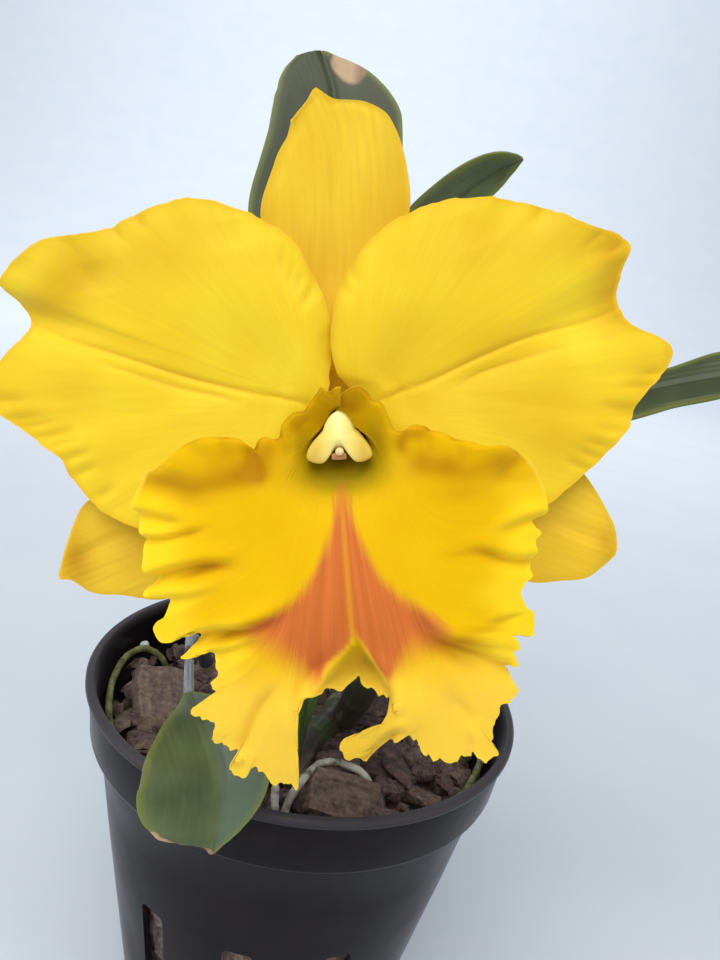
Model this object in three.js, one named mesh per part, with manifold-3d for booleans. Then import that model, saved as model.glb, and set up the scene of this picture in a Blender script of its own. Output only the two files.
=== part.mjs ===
// A flowering cattleya orchid in its black plastic pot, in millimetres, +Z up.
// The origin is the middle of the pot's flat underside. The flower looks along -Y, over the rim.
import * as THREE from "three";
import { mergeVertices } from "three/addons/utils/BufferGeometryUtils.js";
import Module from "manifold-3d";

// ---------------------------------------------------------------- driving dimensions

const POT_HEIGHT = 130;
const RIM_RADIUS = 75;
const RIM_WIDTH = 3.2; // the rolled edge, seen from above
const RIM_DEPTH = 2.6;
const COLLAR_DEPTH = 20; // rim to the step under the collar
const STEP_WIDTH = 2.6;
const BASE_RADIUS = 50;
const WALL = 1.6;
const POT_SIDES = 36;

const SLOT_TOP = 69; // height of the side slots' upper ends
const SLOT_LENGTH = 36;
const SLOT_WIDTH = 9.5;
const SLOT_CORNER = 2;
const SLOT_GROUPS = [266, 26, 146]; // compass of each group of three, degrees from +X
const SLOT_STEP = 29;
const DRAIN_RADIUS = 4;
const DRAIN_CIRCLE = 30;
const DRAIN_COUNT = 6;

const GAP = 0.35; // kept between pieces that touch
const BARK_BOTTOM = 2.4;
const BARK_TOP = 111;
const CHIP_COUNT = 28;
const CHIP_SEED = 20;
const BARK_SIDES = POT_SIDES / 2; // its corners fall on the pot's own, so it never crosses the wall

const BLOOM_CENTRE = [-1.1, -68.4, 238.9];
const BLOOM_TILT_UP = 10; // degrees that the flower looks above the horizon
const BLOOM_LEAN = 13; // degrees that its own vertical leans left
const COLUMN_LENGTH = 25;
const COLUMN_BACK = -5;

const PETAL_THICKNESS = 0.8;
const LIP_THICKNESS = 0.7;
const LEAF_THICKNESS = 1.8;

// Colours, sRGB.
const YELLOW = 0xf4c32c;
const OCHRE = 0xd9a928;
const CREAM = 0xf1e3a2;
const LEAF_GREEN = 0x3f5a34;
const STEM_GREEN = 0x56683a;
const BARK_BROWN = 0x3a2a25;
const ROOT_WHITE = 0xb7b3a4;
const ROOT_GREEN = 0x6d7048;
const POT_BLACK = 0x1e1e22;

// ---------------------------------------------------------------- solids

const wasm = await Module();
wasm.setup();

function manifoldOf(geometry) {
  const bare = geometry.clone();
  bare.deleteAttribute("normal");
  bare.deleteAttribute("uv");
  const merged = mergeVertices(bare, 1e-4);
  return new wasm.Manifold(
    new wasm.Mesh({
      numProp: 3,
      vertProperties: merged.attributes.position.array,
      triVerts: new Uint32Array(merged.index.array),
    }),
  );
}

function geometryOf(manifold) {
  const mesh = manifold.getMesh();
  const geometry = new THREE.BufferGeometry();
  geometry.setAttribute("position", new THREE.BufferAttribute(mesh.vertProperties, 3));
  geometry.setIndex(new THREE.BufferAttribute(mesh.triVerts, 1));
  return geometry;
}

function fuse(geometries) {
  return geometries.map(manifoldOf).reduce((whole, next) => whole.add(next));
}

function cut(manifold, tools) {
  return tools.map(manifoldOf).reduce((left, tool) => left.subtract(tool), manifold);
}

// A seeded random number from 0 to 1, the same on every run.
function seeded(seed) {
  let state = seed;
  return () => {
    state = (state + 0x6d2b79f5) | 0;
    let mixed = Math.imul(state ^ (state >>> 15), 1 | state);
    mixed = (mixed + Math.imul(mixed ^ (mixed >>> 7), 61 | mixed)) ^ mixed;
    return ((mixed ^ (mixed >>> 14)) >>> 0) / 4294967296;
  };
}

// ---------------------------------------------------------------- curves and sheets

const radians = THREE.MathUtils.degToRad;
const smoothstep = THREE.MathUtils.smoothstep;
const lerp = THREE.MathUtils.lerp;

function curve(points) {
  return new THREE.CatmullRomCurve3(points.map((p) => new THREE.Vector3(...p)));
}

// A smooth value at u through [u, value] pairs, with slopes taken from the neighbours.
function through(pairs, u) {
  const last = pairs.length - 1;
  let i = 0;
  while (i < last - 1 && u > pairs[i + 1][0]) i += 1;
  const [u0, a] = pairs[i];
  const [u1, b] = pairs[i + 1];
  const before = pairs[Math.max(i - 1, 0)];
  const after = pairs[Math.min(i + 2, last)];
  const span = u1 - u0;
  const slopeA = ((b - before[1]) / (u1 - before[0])) * span;
  const slopeB = ((after[1] - a) / (after[0] - u0)) * span;
  const t = THREE.MathUtils.clamp((u - u0) / span, 0, 1);
  const t2 = t * t;
  const t3 = t2 * t;
  return (
    (2 * t3 - 3 * t2 + 1) * a +
    (t3 - 2 * t2 + t) * slopeA +
    (3 * t2 - 2 * t3) * b +
    (t3 - t2) * slopeB
  );
}

// A thin closed solid about the surface point(column, row). Both faces have the same triangles.
// around joins the last column to the first, and pole draws row 0 together in one point.
function sheet(point, columns, rows, thickness, { around = false, pole = false } = {}) {
  const wide = around ? columns : columns + 1;
  const at = (i, j) => point((around ? (i + columns) % columns : i) / columns, j / rows);
  const grid = [];
  for (let i = 0; i < wide; i += 1) {
    grid.push([]);
    for (let j = 0; j <= rows; j += 1) grid[i].push(at(i, j));
  }
  const get = (i, j) => {
    const column = around ? (i + columns) % columns : THREE.MathUtils.clamp(i, 0, columns);
    return grid[column][THREE.MathUtils.clamp(j, 0, rows)];
  };
  const positions = [];
  const push = (p, normal, side) => {
    positions.push(
      p.x + normal.x * side * thickness * 0.5,
      p.y + normal.y * side * thickness * 0.5,
      p.z + normal.z * side * thickness * 0.5,
    );
    return positions.length / 3 - 1;
  };
  const normalAt = (i, j) => {
    const along = get(i + 1, j).clone().sub(get(i - 1, j));
    const out = get(i, j + 1).clone().sub(get(i, j - 1));
    return along.cross(out).normalize();
  };
  const faces = [1, -1].map((side) => {
    let centre = null;
    if (pole) {
      const mean = new THREE.Vector3();
      for (let i = 0; i < wide; i += 1) mean.add(normalAt(i, 1));
      centre = push(grid[0][0], mean.normalize(), side);
    }
    return grid.map((line, i) =>
      line.map((p, j) => (pole && j === 0 ? centre : push(p, normalAt(i, j), side))),
    );
  });
  const index = [];
  const triangle = (a, b, c) => {
    if (a !== b && b !== c && c !== a) index.push(a, b, c);
  };
  const [front, back] = faces;
  const next = (i) => (around ? (i + 1) % columns : i + 1);
  for (let i = 0; i < columns; i += 1) {
    for (let j = 0; j < rows; j += 1) {
      const [a, b, c, d] = [front[i][j], front[next(i)][j], front[next(i)][j + 1], front[i][j + 1]];
      triangle(a, b, c);
      triangle(a, c, d);
      const [e, f, g, h] = [back[i][j], back[next(i)][j], back[next(i)][j + 1], back[i][j + 1]];
      triangle(e, g, f);
      triangle(e, h, g);
    }
    triangle(front[i][rows], front[next(i)][rows], back[next(i)][rows]);
    triangle(front[i][rows], back[next(i)][rows], back[i][rows]);
    if (!pole) {
      triangle(front[i][0], back[next(i)][0], front[next(i)][0]);
      triangle(front[i][0], back[i][0], back[next(i)][0]);
    }
  }
  if (!around) {
    for (let j = 0; j < rows; j += 1) {
      triangle(front[0][j], front[0][j + 1], back[0][j + 1]);
      triangle(front[0][j], back[0][j + 1], back[0][j]);
      triangle(front[columns][j], back[columns][j + 1], front[columns][j + 1]);
      triangle(front[columns][j], back[columns][j], back[columns][j + 1]);
    }
  }
  const geometry = new THREE.BufferGeometry();
  geometry.setAttribute("position", new THREE.Float32BufferAttribute(positions, 3));
  geometry.setIndex(index);
  return geometry;
}

const TOWARDS_TIP = 1.35; // over 1, the columns of a blade crowd towards its rounded tip

// A leaf or sepal: a middle line, and the half widths to its left and right along it.
// across points to the right-hand edge. fold lifts both edges, and cup lifts them in a round.
function blade({ middle, across, left, right, fold = 0, cup = 0, wave = null }, thickness, size) {
  const line = curve(middle);
  const hint = new THREE.Vector3(...across);
  const surface = (column, row) => {
    const u = 1 - (1 - column) ** TOWARDS_TIP;
    const v = row * 2 - 1;
    const centre = line.getPointAt(u);
    const ahead = line.getTangentAt(u);
    const side = hint.clone().addScaledVector(ahead, -hint.dot(ahead)).normalize();
    const up = side.clone().cross(ahead);
    const width = v < 0 ? through(left, u) : through(right, u);
    const lift = (fold * Math.abs(v) + cup * v * v) * width + (wave ? wave(u, v) : 0);
    return centre.addScaledVector(side, v * width).addScaledVector(up, lift);
  };
  return sheet(surface, size[0], size[1], thickness);
}

// A round solid of changing radius along a path: a turned profile, bent onto the path.
function stem(points, radii, sides, steps) {
  const path = curve(points);
  const profile = [new THREE.Vector2(0, 0)];
  for (let k = 0; k <= steps; k += 1) profile.push(new THREE.Vector2(through(radii, k / steps), k));
  profile.push(new THREE.Vector2(0, steps));
  const turned = new THREE.LatheGeometry(profile, sides);
  const frames = path.computeFrenetFrames(steps);
  const place = turned.attributes.position;
  for (let n = 0; n < place.count; n += 1) {
    const ring = Math.round(place.getY(n));
    const point = path.getPointAt(ring / steps);
    point.addScaledVector(frames.normals[ring], place.getZ(n));
    point.addScaledVector(frames.binormals[ring], place.getX(n));
    place.setXYZ(n, point.x, point.y, point.z);
  }
  return turned;
}

const fatter = (radii, by) => radii.map(([u, r]) => [u, r + by]);

// ---------------------------------------------------------------- the pot

const WALL_TOP = POT_HEIGHT - COLLAR_DEPTH;
const COLLAR_RADIUS = RIM_RADIUS - 1;
const WALL_TOP_RADIUS = COLLAR_RADIUS - STEP_WIDTH - 2.6;
const INNER_RIM = RIM_RADIUS - RIM_WIDTH;

// The inside of the wall at a height, which the bark fills.
function insideRadius(z) {
  const low = BASE_RADIUS - WALL;
  const high = WALL_TOP_RADIUS - WALL;
  return lerp(low, high, THREE.MathUtils.clamp(z / (WALL_TOP - 2), 0, 1));
}

function potSolid() {
  const turn = [
    [0, 0],
    [BASE_RADIUS - 1.2, 0],
    [BASE_RADIUS, 1.4],
    [WALL_TOP_RADIUS, WALL_TOP - 1.5],
    [COLLAR_RADIUS - 2.2, WALL_TOP + 0.4],
    [COLLAR_RADIUS - 1.7, WALL_TOP + 2],
    [COLLAR_RADIUS - 0.3, POT_HEIGHT - RIM_DEPTH - 0.6],
    [RIM_RADIUS, POT_HEIGHT - RIM_DEPTH + 0.3],
    [RIM_RADIUS, POT_HEIGHT - 0.8],
    [RIM_RADIUS - 0.8, POT_HEIGHT],
    [INNER_RIM + 0.8, POT_HEIGHT],
    [INNER_RIM, POT_HEIGHT - 0.9],
    [INNER_RIM - 0.6, POT_HEIGHT - RIM_DEPTH - 1.4],
    [COLLAR_RADIUS - 3.4, WALL_TOP + 3],
    [WALL_TOP_RADIUS - WALL, WALL_TOP - 2],
    [BASE_RADIUS - WALL, BARK_BOTTOM - 0.4],
    [0, BARK_BOTTOM - 0.4],
  ];
  const shell = new THREE.LatheGeometry(turn.map((p) => new THREE.Vector2(...p)), POT_SIDES);
  shell.rotateX(Math.PI / 2);
  const tools = [];
  for (const group of SLOT_GROUPS) {
    for (const place of [-1, 0, 1]) tools.push(slotTool(group + place * SLOT_STEP));
  }
  for (let k = 0; k < DRAIN_COUNT; k += 1) {
    const hole = new THREE.CylinderGeometry(DRAIN_RADIUS, DRAIN_RADIUS, 10, 10);
    hole.rotateX(Math.PI / 2);
    const turned = radians((k * 360) / DRAIN_COUNT + 30);
    hole.translate(DRAIN_CIRCLE * Math.cos(turned), DRAIN_CIRCLE * Math.sin(turned), 0);
    tools.push(hole);
  }
  return cut(manifoldOf(shell), tools);
}

// A slot with rounded corners through the wall, facing outwards at a compass angle.
function slotTool(degrees) {
  const x = SLOT_WIDTH / 2 - SLOT_CORNER;
  const y = SLOT_LENGTH / 2 - SLOT_CORNER;
  const outline = new THREE.Shape();
  outline.absarc(x, y, SLOT_CORNER, 0, Math.PI / 2, false);
  outline.absarc(-x, y, SLOT_CORNER, Math.PI / 2, Math.PI, false);
  outline.absarc(-x, -y, SLOT_CORNER, Math.PI, 1.5 * Math.PI, false);
  outline.absarc(x, -y, SLOT_CORNER, 1.5 * Math.PI, 2 * Math.PI, false);
  const slot = new THREE.ExtrudeGeometry(outline, { depth: 30, bevelEnabled: false, curveSegments: 2 });
  slot.rotateX(Math.PI / 2);
  slot.rotateZ(Math.PI / 2);
  slot.translate(BASE_RADIUS - 8, 0, SLOT_TOP - SLOT_LENGTH / 2);
  slot.rotateZ(radians(degrees));
  return slot;
}

// ---------------------------------------------------------------- stems and roots

const RHIZOME = {
  points: [
    [-8, 50, 114],
    [2, 36, 117],
    [14, 18, 117],
    [12, -2, 117],
    [5, -22, 117],
    [3, -40, 114],
  ],
  radii: [
    [0, 3.2],
    [0.12, 4.6],
    [0.85, 4.6],
    [1, 3],
  ],
};

// Swollen stems: thin at the foot, thickest above the middle, narrow under the leaf.
const BULB_RADII = [
  [0, 4.6],
  [0.15, 5.2],
  [0.55, 8.2],
  [0.8, 7.4],
  [0.95, 5.2],
  [1, 4.4],
];
const BULBS = {
  pseudobulb_lead: [
    [4.5, -30, 119],
    [6, -32, 136],
    [4, -24, 164],
    [0, -12, 190],
  ],
  pseudobulb_second: [
    [16, -6, 119],
    [20, -8, 136],
    [20, 6, 165],
    [15, 22, 194],
  ],
  pseudobulb_third: [
    [14, 16, 119],
    [31, 21, 134],
    [34, 24, 165],
    [28, 21, 192],
  ],
  pseudobulb_old: [
    [-2, 42, 119],
    [-10, 45, 134],
    [-14, 46, 156],
    [-14, 44, 176],
  ],
};

const CANE = {
  points: [
    [-36, 26, 104],
    [-41, 14, 124],
    [-41, -9, 141],
    [-35, -38, 148],
    [-30.2, -57.6, 150],
  ],
  radii: [
    [0, 2.6],
    [0.3, 2.4],
    [0.6, 1.6],
    [0.7, 1.5],
    [0.735, 1.9],
    [0.77, 1.5],
    [1, 1.5],
  ],
};

const ROOTS = {
  root_left_wall: {
    points: [
      [-51, -34, 104],
      [-59, -30.5, 116],
      [-64.6, -17, 119.5],
      [-66.6, -5, 121],
      [-66, 6, 122],
      [-62, 14, 121],
      [-56, 17, 116],
      [-52, 18, 104],
    ],
    radius: 1.5,
  },
  root_right_wall: {
    points: [
      [56, -6, 104],
      [63, -14, 118],
      [62.3, -21, 121.5],
      [59, -32, 122.5],
      [56, -38, 121.5],
      [46, -38, 104],
    ],
    radius: 1.25,
  },
  root_front: {
    points: [
      [2, -55, 104],
      [4.6, -51, 119],
      [6.4, -41, 121.8],
      [10.4, -35.4, 122.2],
      [17.6, -33, 122],
      [24, -35.4, 121],
      [27.4, -39.4, 118],
      [30, -42, 104],
    ],
    radius: 1.6,
  },
  root_stub: {
    points: [
      [-3, -44, 104],
      [-2, -47.5, 117],
      [-2, -53, 121.4],
      [-1, -59, 120],
      [1, -62, 104],
    ],
    radius: 1.5,
  },
};

const ROOT_SIDES = 6;
const ROOT_STEPS = 14;
const STEM_SIDES = 10;
const BEAD = { centre: [-64.2, 19.6, 119], radius: 1.8 };

function rootSolid({ points, radius }, extra = 0) {
  const radii = [
    [0, radius + extra],
    [1, radius + extra],
  ];
  return stem(points, radii, ROOT_SIDES, ROOT_STEPS);
}

// ---------------------------------------------------------------- the bark mix

// One chip of bark: a box with uneven corners, lying nearly flat.
function chip(random, size, place, turn) {
  const box = new THREE.BoxGeometry(...size);
  const corners = new Map();
  const vertices = box.attributes.position;
  for (let n = 0; n < vertices.count; n += 1) {
    const name = [vertices.getX(n), vertices.getY(n), vertices.getZ(n)].map(Math.sign).join();
    if (!corners.has(name)) {
      corners.set(name, size.map((length) => 1 - random() * Math.min(0.35, 5 / length)));
    }
    const pull = corners.get(name);
    vertices.setXYZ(n, vertices.getX(n) * pull[0], vertices.getY(n) * pull[1], vertices.getZ(n) * pull[2]);
  }
  box.applyMatrix4(new THREE.Matrix4().makeRotationFromEuler(new THREE.Euler(...turn)));
  box.translate(...place);
  return box;
}

function barkSolid(clearances) {
  const random = seeded(CHIP_SEED);
  const outer = (z) => insideRadius(z) - GAP;
  const body = new THREE.LatheGeometry(
    [
      new THREE.Vector2(0, BARK_BOTTOM),
      new THREE.Vector2(outer(BARK_BOTTOM) - 1, BARK_BOTTOM),
      new THREE.Vector2(outer(BARK_TOP - 6), BARK_TOP - 6),
      new THREE.Vector2(0, BARK_TOP),
    ],
    BARK_SIDES,
  );
  body.rotateX(Math.PI / 2);
  const chips = [
    chip(random, [31, 20, 9], [-49, -8, 115], [0.1, -0.22, 1.9]),
    chip(random, [27, 16, 10], [17.5, -42, 113.5], [-0.32, 0.1, 0.1]),
    chip(random, [24, 13, 8], [30, -48, 114], [0.2, 0.35, 2.2]),
  ];
  const golden = Math.PI * (3 - Math.sqrt(5));
  for (let k = 0; k < CHIP_COUNT; k += 1) {
    const reach = 60 * Math.sqrt((k + 0.5) / CHIP_COUNT);
    const bearing = k * golden;
    const size = [14 + 14 * random(), 9 + 8 * random(), 5 + 4 * random()];
    const place = [
      reach * Math.cos(bearing) + 3 * (random() - 0.5),
      reach * Math.sin(bearing) + 3 * (random() - 0.5),
      BARK_TOP - 0.5 + 4 * random(),
    ];
    const turn = [0.9 * (random() - 0.5), 0.9 * (random() - 0.5), Math.PI * random()];
    chips.push(chip(random, size, place, turn));
  }
  const room = new THREE.LatheGeometry(
    [
      new THREE.Vector2(0, BARK_BOTTOM),
      new THREE.Vector2(outer(BARK_BOTTOM), BARK_BOTTOM),
      new THREE.Vector2(outer(WALL_TOP - 2), WALL_TOP - 2.4),
      new THREE.Vector2(COLLAR_RADIUS - 4, WALL_TOP + 3),
      new THREE.Vector2(COLLAR_RADIUS - 4, POT_HEIGHT - 6),
      new THREE.Vector2(0, POT_HEIGHT - 6),
    ],
    BARK_SIDES,
  );
  room.rotateX(Math.PI / 2);
  const heap = fuse([body, ...chips]).intersect(manifoldOf(room));
  const holed = cut(heap, clearances);
  return holed.decompose().sort((a, b) => b.volume() - a.volume())[0];
}

// ---------------------------------------------------------------- leaves

const LEAVES = {
  leaf_back: {
    middle: [
      [-0.8, -9.6, 192.2],
      [-8, 2, 222],
      [-17, 13, 256],
      [-22.5, 22, 288],
      [-23, 28, 311],
      [-26.5, 32.5, 327],
      [-33, 35.8, 338.6],
    ],
    across: [1, 0.1, 0.1],
    left: [
      [0, 3.2], [0.12, 9], [0.35, 18], [0.63, 24.3], [0.72, 23],
      [0.87, 20.6], [0.952, 17.6], [0.98, 14], [1, 8.5],
    ],
    right: [
      [0, 3.2], [0.12, 9], [0.35, 18], [0.6, 23], [0.85, 22],
      [0.894, 18.2], [0.937, 11.6], [0.97, 6], [1, 1],
    ],
    fold: 0.12,
  },
  leaf_upper_right: {
    middle: [
      [14.7, 23.2, 196],
      [9, 32, 228],
      [7.5, 39, 258],
      [12, 42, 283],
      [21, 43, 299.5],
      [31.5, 43, 311],
      [41.4, 42, 318.3],
    ],
    across: [1, 0.35, 0],
    left: [
      [0, 3.2], [0.2, 9], [0.5, 13.5], [0.71, 12.4], [0.8, 11],
      [0.91, 9.2], [0.957, 7], [0.99, 2.9], [1, 0.5],
    ],
    right: [
      [0, 3.2], [0.2, 9], [0.5, 12.5], [0.75, 8.5],
      [0.89, 6.2], [0.93, 5], [0.97, 2.5], [1, 0.5],
    ],
    fold: 0.2,
  },
  leaf_right: {
    middle: [
      [28.6, 20.8, 195],
      [44, 23, 214],
      [66, 24, 234],
      [93, 22, 247],
      [121, 20, 258.5],
      [147, 18, 266],
    ],
    across: [-0.1, -0.75, -0.62],
    left: [[0, 3.5], [0.2, 8], [0.5, 9.4], [0.69, 8], [0.82, 10.6], [0.93, 7.5], [1, 0.6]],
    right: [
      [0, 3.5], [0.2, 8], [0.45, 12], [0.57, 13],
      [0.68, 10.8], [0.78, 10.4], [0.92, 7], [1, 0.6],
    ],
    fold: 0.12,
  },
  leaf_front_left: {
    middle: [
      [-30, -58.3, 150.1],
      [-22.5, -70.5, 149.4],
      [-15.5, -79, 142.5],
      [-13.5, -84.2, 132],
      [-13.6, -86.2, 125],
    ],
    across: [1, 0.25, 0.1],
    left: [
      [0, 1.6], [0.16, 6], [0.3, 12.4], [0.4, 17.2], [0.55, 19.8],
      [0.77, 19.8], [0.915, 15], [0.94, 12], [0.965, 3.5], [1, 0.6],
    ],
    right: [
      [0, 1.6], [0.12, 7], [0.3, 12.5], [0.5, 14],
      [0.67, 11.5], [0.815, 7.4], [0.913, 3.7], [1, 0.6],
    ],
    fold: -0.2,
  },
};
const LEAF_GRID = [12, 4];
const FRONT_LEAF_THICKNESS = 1.4;

// ---------------------------------------------------------------- flower stem

const STALK = {
  points: [
    [0.6, -14.3, 192.6],
    [0.6, -14.6, 198],
    [0.5, -20, 207],
    [0, -33, 219.5],
    [-1, -47, 229],
  ],
  radii: [
    [0, 2.1],
    [1, 2.1],
  ],
};
const OVARY = {
  points: [
    [-1.1, -47.6, 229.6],
    [-1.2, -53, 234],
    [-1.1, -60.4, 237.3],
  ],
  radii: [
    [0, 2.1],
    [0.4, 3.2],
    [0.85, 3.4],
    [1, 6.4],
  ],
};
const SHEATH = { length: 20, inner: 2.5, flare: 1.4, wall: 0.6, sides: 8, steps: 4 };

// The papery sheath round the stalk's foot: a thin sleeve, wider at the top.
function sheathSolid() {
  const path = curve(STALK.points);
  const whole = path.getLength();
  const share = SHEATH.length / whole;
  const inner = (k) => SHEATH.inner + SHEATH.flare * (k / SHEATH.steps) ** 2;
  const profile = [];
  for (let k = 0; k <= SHEATH.steps; k += 1) profile.push(new THREE.Vector2(inner(k) + SHEATH.wall, k));
  for (let k = SHEATH.steps; k >= 0; k -= 1) profile.push(new THREE.Vector2(inner(k), k));
  profile.push(profile[0].clone());
  const turned = new THREE.LatheGeometry(profile, SHEATH.sides);
  const steps = Math.round(SHEATH.steps / share);
  const frames = path.computeFrenetFrames(steps);
  const place = turned.attributes.position;
  for (let n = 0; n < place.count; n += 1) {
    const ring = Math.round(place.getY(n));
    const point = path.getPointAt(ring / steps);
    point.addScaledVector(frames.normals[ring], place.getZ(n));
    point.addScaledVector(frames.binormals[ring], place.getX(n));
    place.setXYZ(n, point.x, point.y, point.z);
  }
  return turned;
}

// ---------------------------------------------------------------- the flower
// In the flower's own frame: x to its right as one faces it, y up, z out of its face.

const SEPALS = {
  dorsal_sepal: {
    middle: [
      [-0.8, 4.2, -5],
      [-1, 18, -5],
      [-0.5, 32, -5.2],
      [0.5, 46, -4.4],
      [0.8, 59, -3],
      [0.4, 66, -2],
      [-1, 71, -1.2],
      [-3, 74.2, -0.8],
    ],
    across: [1, 0, 0],
    left: [
      [0, 3], [0.2, 7], [0.4, 13.5], [0.59, 17.6], [0.77, 14],
      [0.86, 10.8], [0.92, 9], [0.969, 7.2], [0.985, 3], [1, 0.5],
    ],
    right: [
      [0, 3], [0.2, 7], [0.4, 13], [0.6, 17.3], [0.77, 16.3],
      [0.866, 13.6], [0.91, 9], [0.943, 2.8], [1, 0.5],
    ],
    cup: 0.12,
  },
  lateral_sepal_left: {
    middle: [
      [-5.4, -3.5, -5.4],
      [-26, -15, -8],
      [-47, -27.5, -8],
      [-63, -34.5, -7],
      [-73, -38, -6],
    ],
    across: [0.45, -0.89, 0],
    left: [
      [0, 2.6], [0.2, 8], [0.5, 13.5], [0.75, 15], [0.83, 14.6],
      [0.9, 10.4], [0.95, 6], [0.985, 2.4], [1, 0.6],
    ],
    right: [
      [0, 2.6], [0.2, 9], [0.5, 15.5], [0.73, 16],
      [0.85, 10], [0.927, 6.3], [0.965, 2], [1, 0.6],
    ],
    cup: 0.14,
  },
  lateral_sepal_right: {
    middle: [
      [5, -3.5, -5.4],
      [22, -14, -8],
      [41, -26, -8],
      [56, -33.5, -7],
      [66, -37.5, -6],
    ],
    across: [0.45, 0.89, 0],
    left: [
      [0, 2.6], [0.2, 9], [0.5, 15], [0.77, 14.7],
      [0.872, 11], [0.937, 8.3], [0.972, 4.6], [1, 0.6],
    ],
    right: [
      [0, 2.6], [0.2, 8], [0.5, 13.5], [0.75, 16.2],
      [0.86, 12.4], [0.952, 6.9], [0.98, 4], [1, 0.6],
    ],
    cup: 0.14,
  },
};
const SEPAL_GRID = [12, 6];

// Each petal's edge, from its claw up over the top to the tip and back below.
const PETALS = {
  petal_left: {
    heart: [-17, 7, 1.4],
    edge: [
      [-5, 0.5, 0.8],
      [-3, 5.5, 2.2],
      [-1.6, 14.5, 3],
      [-1.6, 22, 3.6],
      [-5.5, 32.5, 4.2],
      [-9.5, 39.5, 3.8],
      [-16, 44.8, 3],
      [-24, 48.6, 2.2],
      [-32, 50.6, 2],
      [-41, 49.5, 1],
      [-51.5, 45.5, 0],
      [-60, 44, -1.6],
      [-67, 43.4, -2.4],
      [-74, 40, -3.4],
      [-80.5, 34.6, -3],
      [-77, 30, -0.6],
      [-74.6, 24, 0.6],
      [-81, 17.6, -3],
      [-85.8, 10.5, -5],
      [-84, 4, -5],
      [-77.5, -1.6, -3],
      [-69, -8, -1],
      [-64.6, -15.5, -2],
      [-59, -21.5, -1],
      [-50.5, -25.6, 0],
      [-36, -29.5, -1],
      [-20.5, -24.5, -2],
      [-10.5, -13.5, -2],
      [-6, -5, -0.6],
    ],
  },
  petal_right: {
    heart: [15, 6, 1.6],
    edge: [
      [5, -4.5, -0.4],
      [12, -15.5, -2],
      [23.5, -24.5, -2],
      [36.5, -28, -0.6],
      [48.5, -23.6, 0],
      [57.5, -17, -1.4],
      [65.5, -9.5, -1],
      [69, -5.4, -2.4],
      [70.6, -0.6, -2],
      [78.4, 7.4, -5],
      [79.5, 11.5, -5],
      [77, 14, -4],
      [69, 18.6, -1],
      [66, 24.4, 0.6],
      [67.6, 31, -1],
      [68.5, 35.5, -2.4],
      [57, 41.5, 0.6],
      [45.5, 45.5, 0.6],
      [35, 47.6, 2],
      [27.5, 47.4, 2],
      [18, 45, 3],
      [9, 39, 4.4],
      [3.5, 32.5, 5.4],
      [-0.6, 24, 6],
      [-1.6, 17, 5.8],
      [-0.6, 9.5, 5],
      [2.4, 5.4, 2.4],
      [5.2, 0.4, 0.8],
    ],
  },
};
const PETAL_ROWS = 5;
const PETAL_ARCH = 1.6;
const PETAL_CALM = 5; // edge columns on each side that are averaged for the calm inner surface

// The lip's edge, from the top of its mouth down the left side, along the two lower lobes
// and up the right side. Its teeth and ruffles are the points' own ups and downs.
const LIP_EDGE = [
  [0.5, 5.2, 27],
  [-3, 5, 27],
  [-4.5, 2.8, 25.5],
  [-6.5, -0.5, 24.5],
  [-9, 0, 24.5],
  [-12, -2.8, 23],
  [-15.5, -4.5, 22],
  [-18, -7, 21],
  [-20.5, -5.8, 21],
  [-27.5, -4, 18.5],
  [-33, -4.6, 17],
  [-39, -8.5, 16],
  [-44, -12, 16],
  [-45.5, -17, 17],
  [-42.8, -21.5, 20],
  [-44.3, -25, 17.5],
  [-44, -29.5, 17.5],
  [-40.5, -33, 22],
  [-44.5, -37.5, 18.5],
  [-38.5, -38.8, 21],
  [-37.5, -40.2, 24],
  [-42, -45, 20.5],
  [-40, -47.5, 22],
  [-31, -44.8, 28],
  [-36, -51, 24],
  [-28.5, -49, 29],
  [-26.5, -51.5, 30],
  [-28.5, -55, 29],
  [-27.5, -57.5, 29.5],
  [-33.5, -61, 27],
  [-28.8, -62.5, 30],
  [-28, -67, 30.5],
  [-24.5, -68.5, 31],
  [-25.5, -73.5, 30],
  [-21.5, -72, 32],
  [-17.5, -73, 32],
  [-13.5, -75.5, 32],
  [-11, -76.5, 32.5],
  [-10.8, -68, 33.5],
  [-10.3, -62, 34.5],
  [-8.8, -57.2, 35],
  [-6, -56.5, 32.5],
  [-2, -56, 32],
  [2, -53.4, 33],
  [3.8, -55, 32],
  [6.5, -57.3, 33],
  [8, -58.6, 34.6],
  [7.6, -61.5, 34],
  [6.4, -64.6, 33.6],
  [6.6, -67.6, 33],
  [9, -67.3, 32],
  [12, -66.6, 32],
  [16.5, -70.3, 34],
  [20.5, -71, 34],
  [24, -69.6, 33],
  [27.5, -69.3, 32],
  [30, -68, 30],
  [27.8, -65, 30.5],
  [31, -62, 29.5],
  [34.3, -60, 28],
  [32.5, -54.8, 28.5],
  [35, -53.5, 27],
  [35, -48.3, 26.5],
  [39.5, -48, 23.5],
  [37.3, -41, 24.5],
  [40, -37, 20.5],
  [41, -30, 19],
  [43.5, -24.5, 17],
  [44, -19, 16],
  [42, -16, 16.5],
  [38.5, -10, 17.5],
  [31, -9, 19],
  [25, -7, 20.5],
  [19, -4.6, 22.5],
  [15.5, -3.2, 24],
  [12.5, -5, 23],
  [10, -0.5, 25],
  [7, 2.8, 25.5],
  [4.5, 4.6, 26.5],
  [1.5, 3.8, 26],
];
const LIP_ROWS = 5;
const LIP_FINENESS = 1.5; // columns of the mesh for each point of the edge
const LIP_CALM = 2.6; // edge points on each side that are averaged for the calm inner surface
const LIP_HEART = [0, -8];
const LEAST_BEARING_STEP = 0.3;

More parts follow.
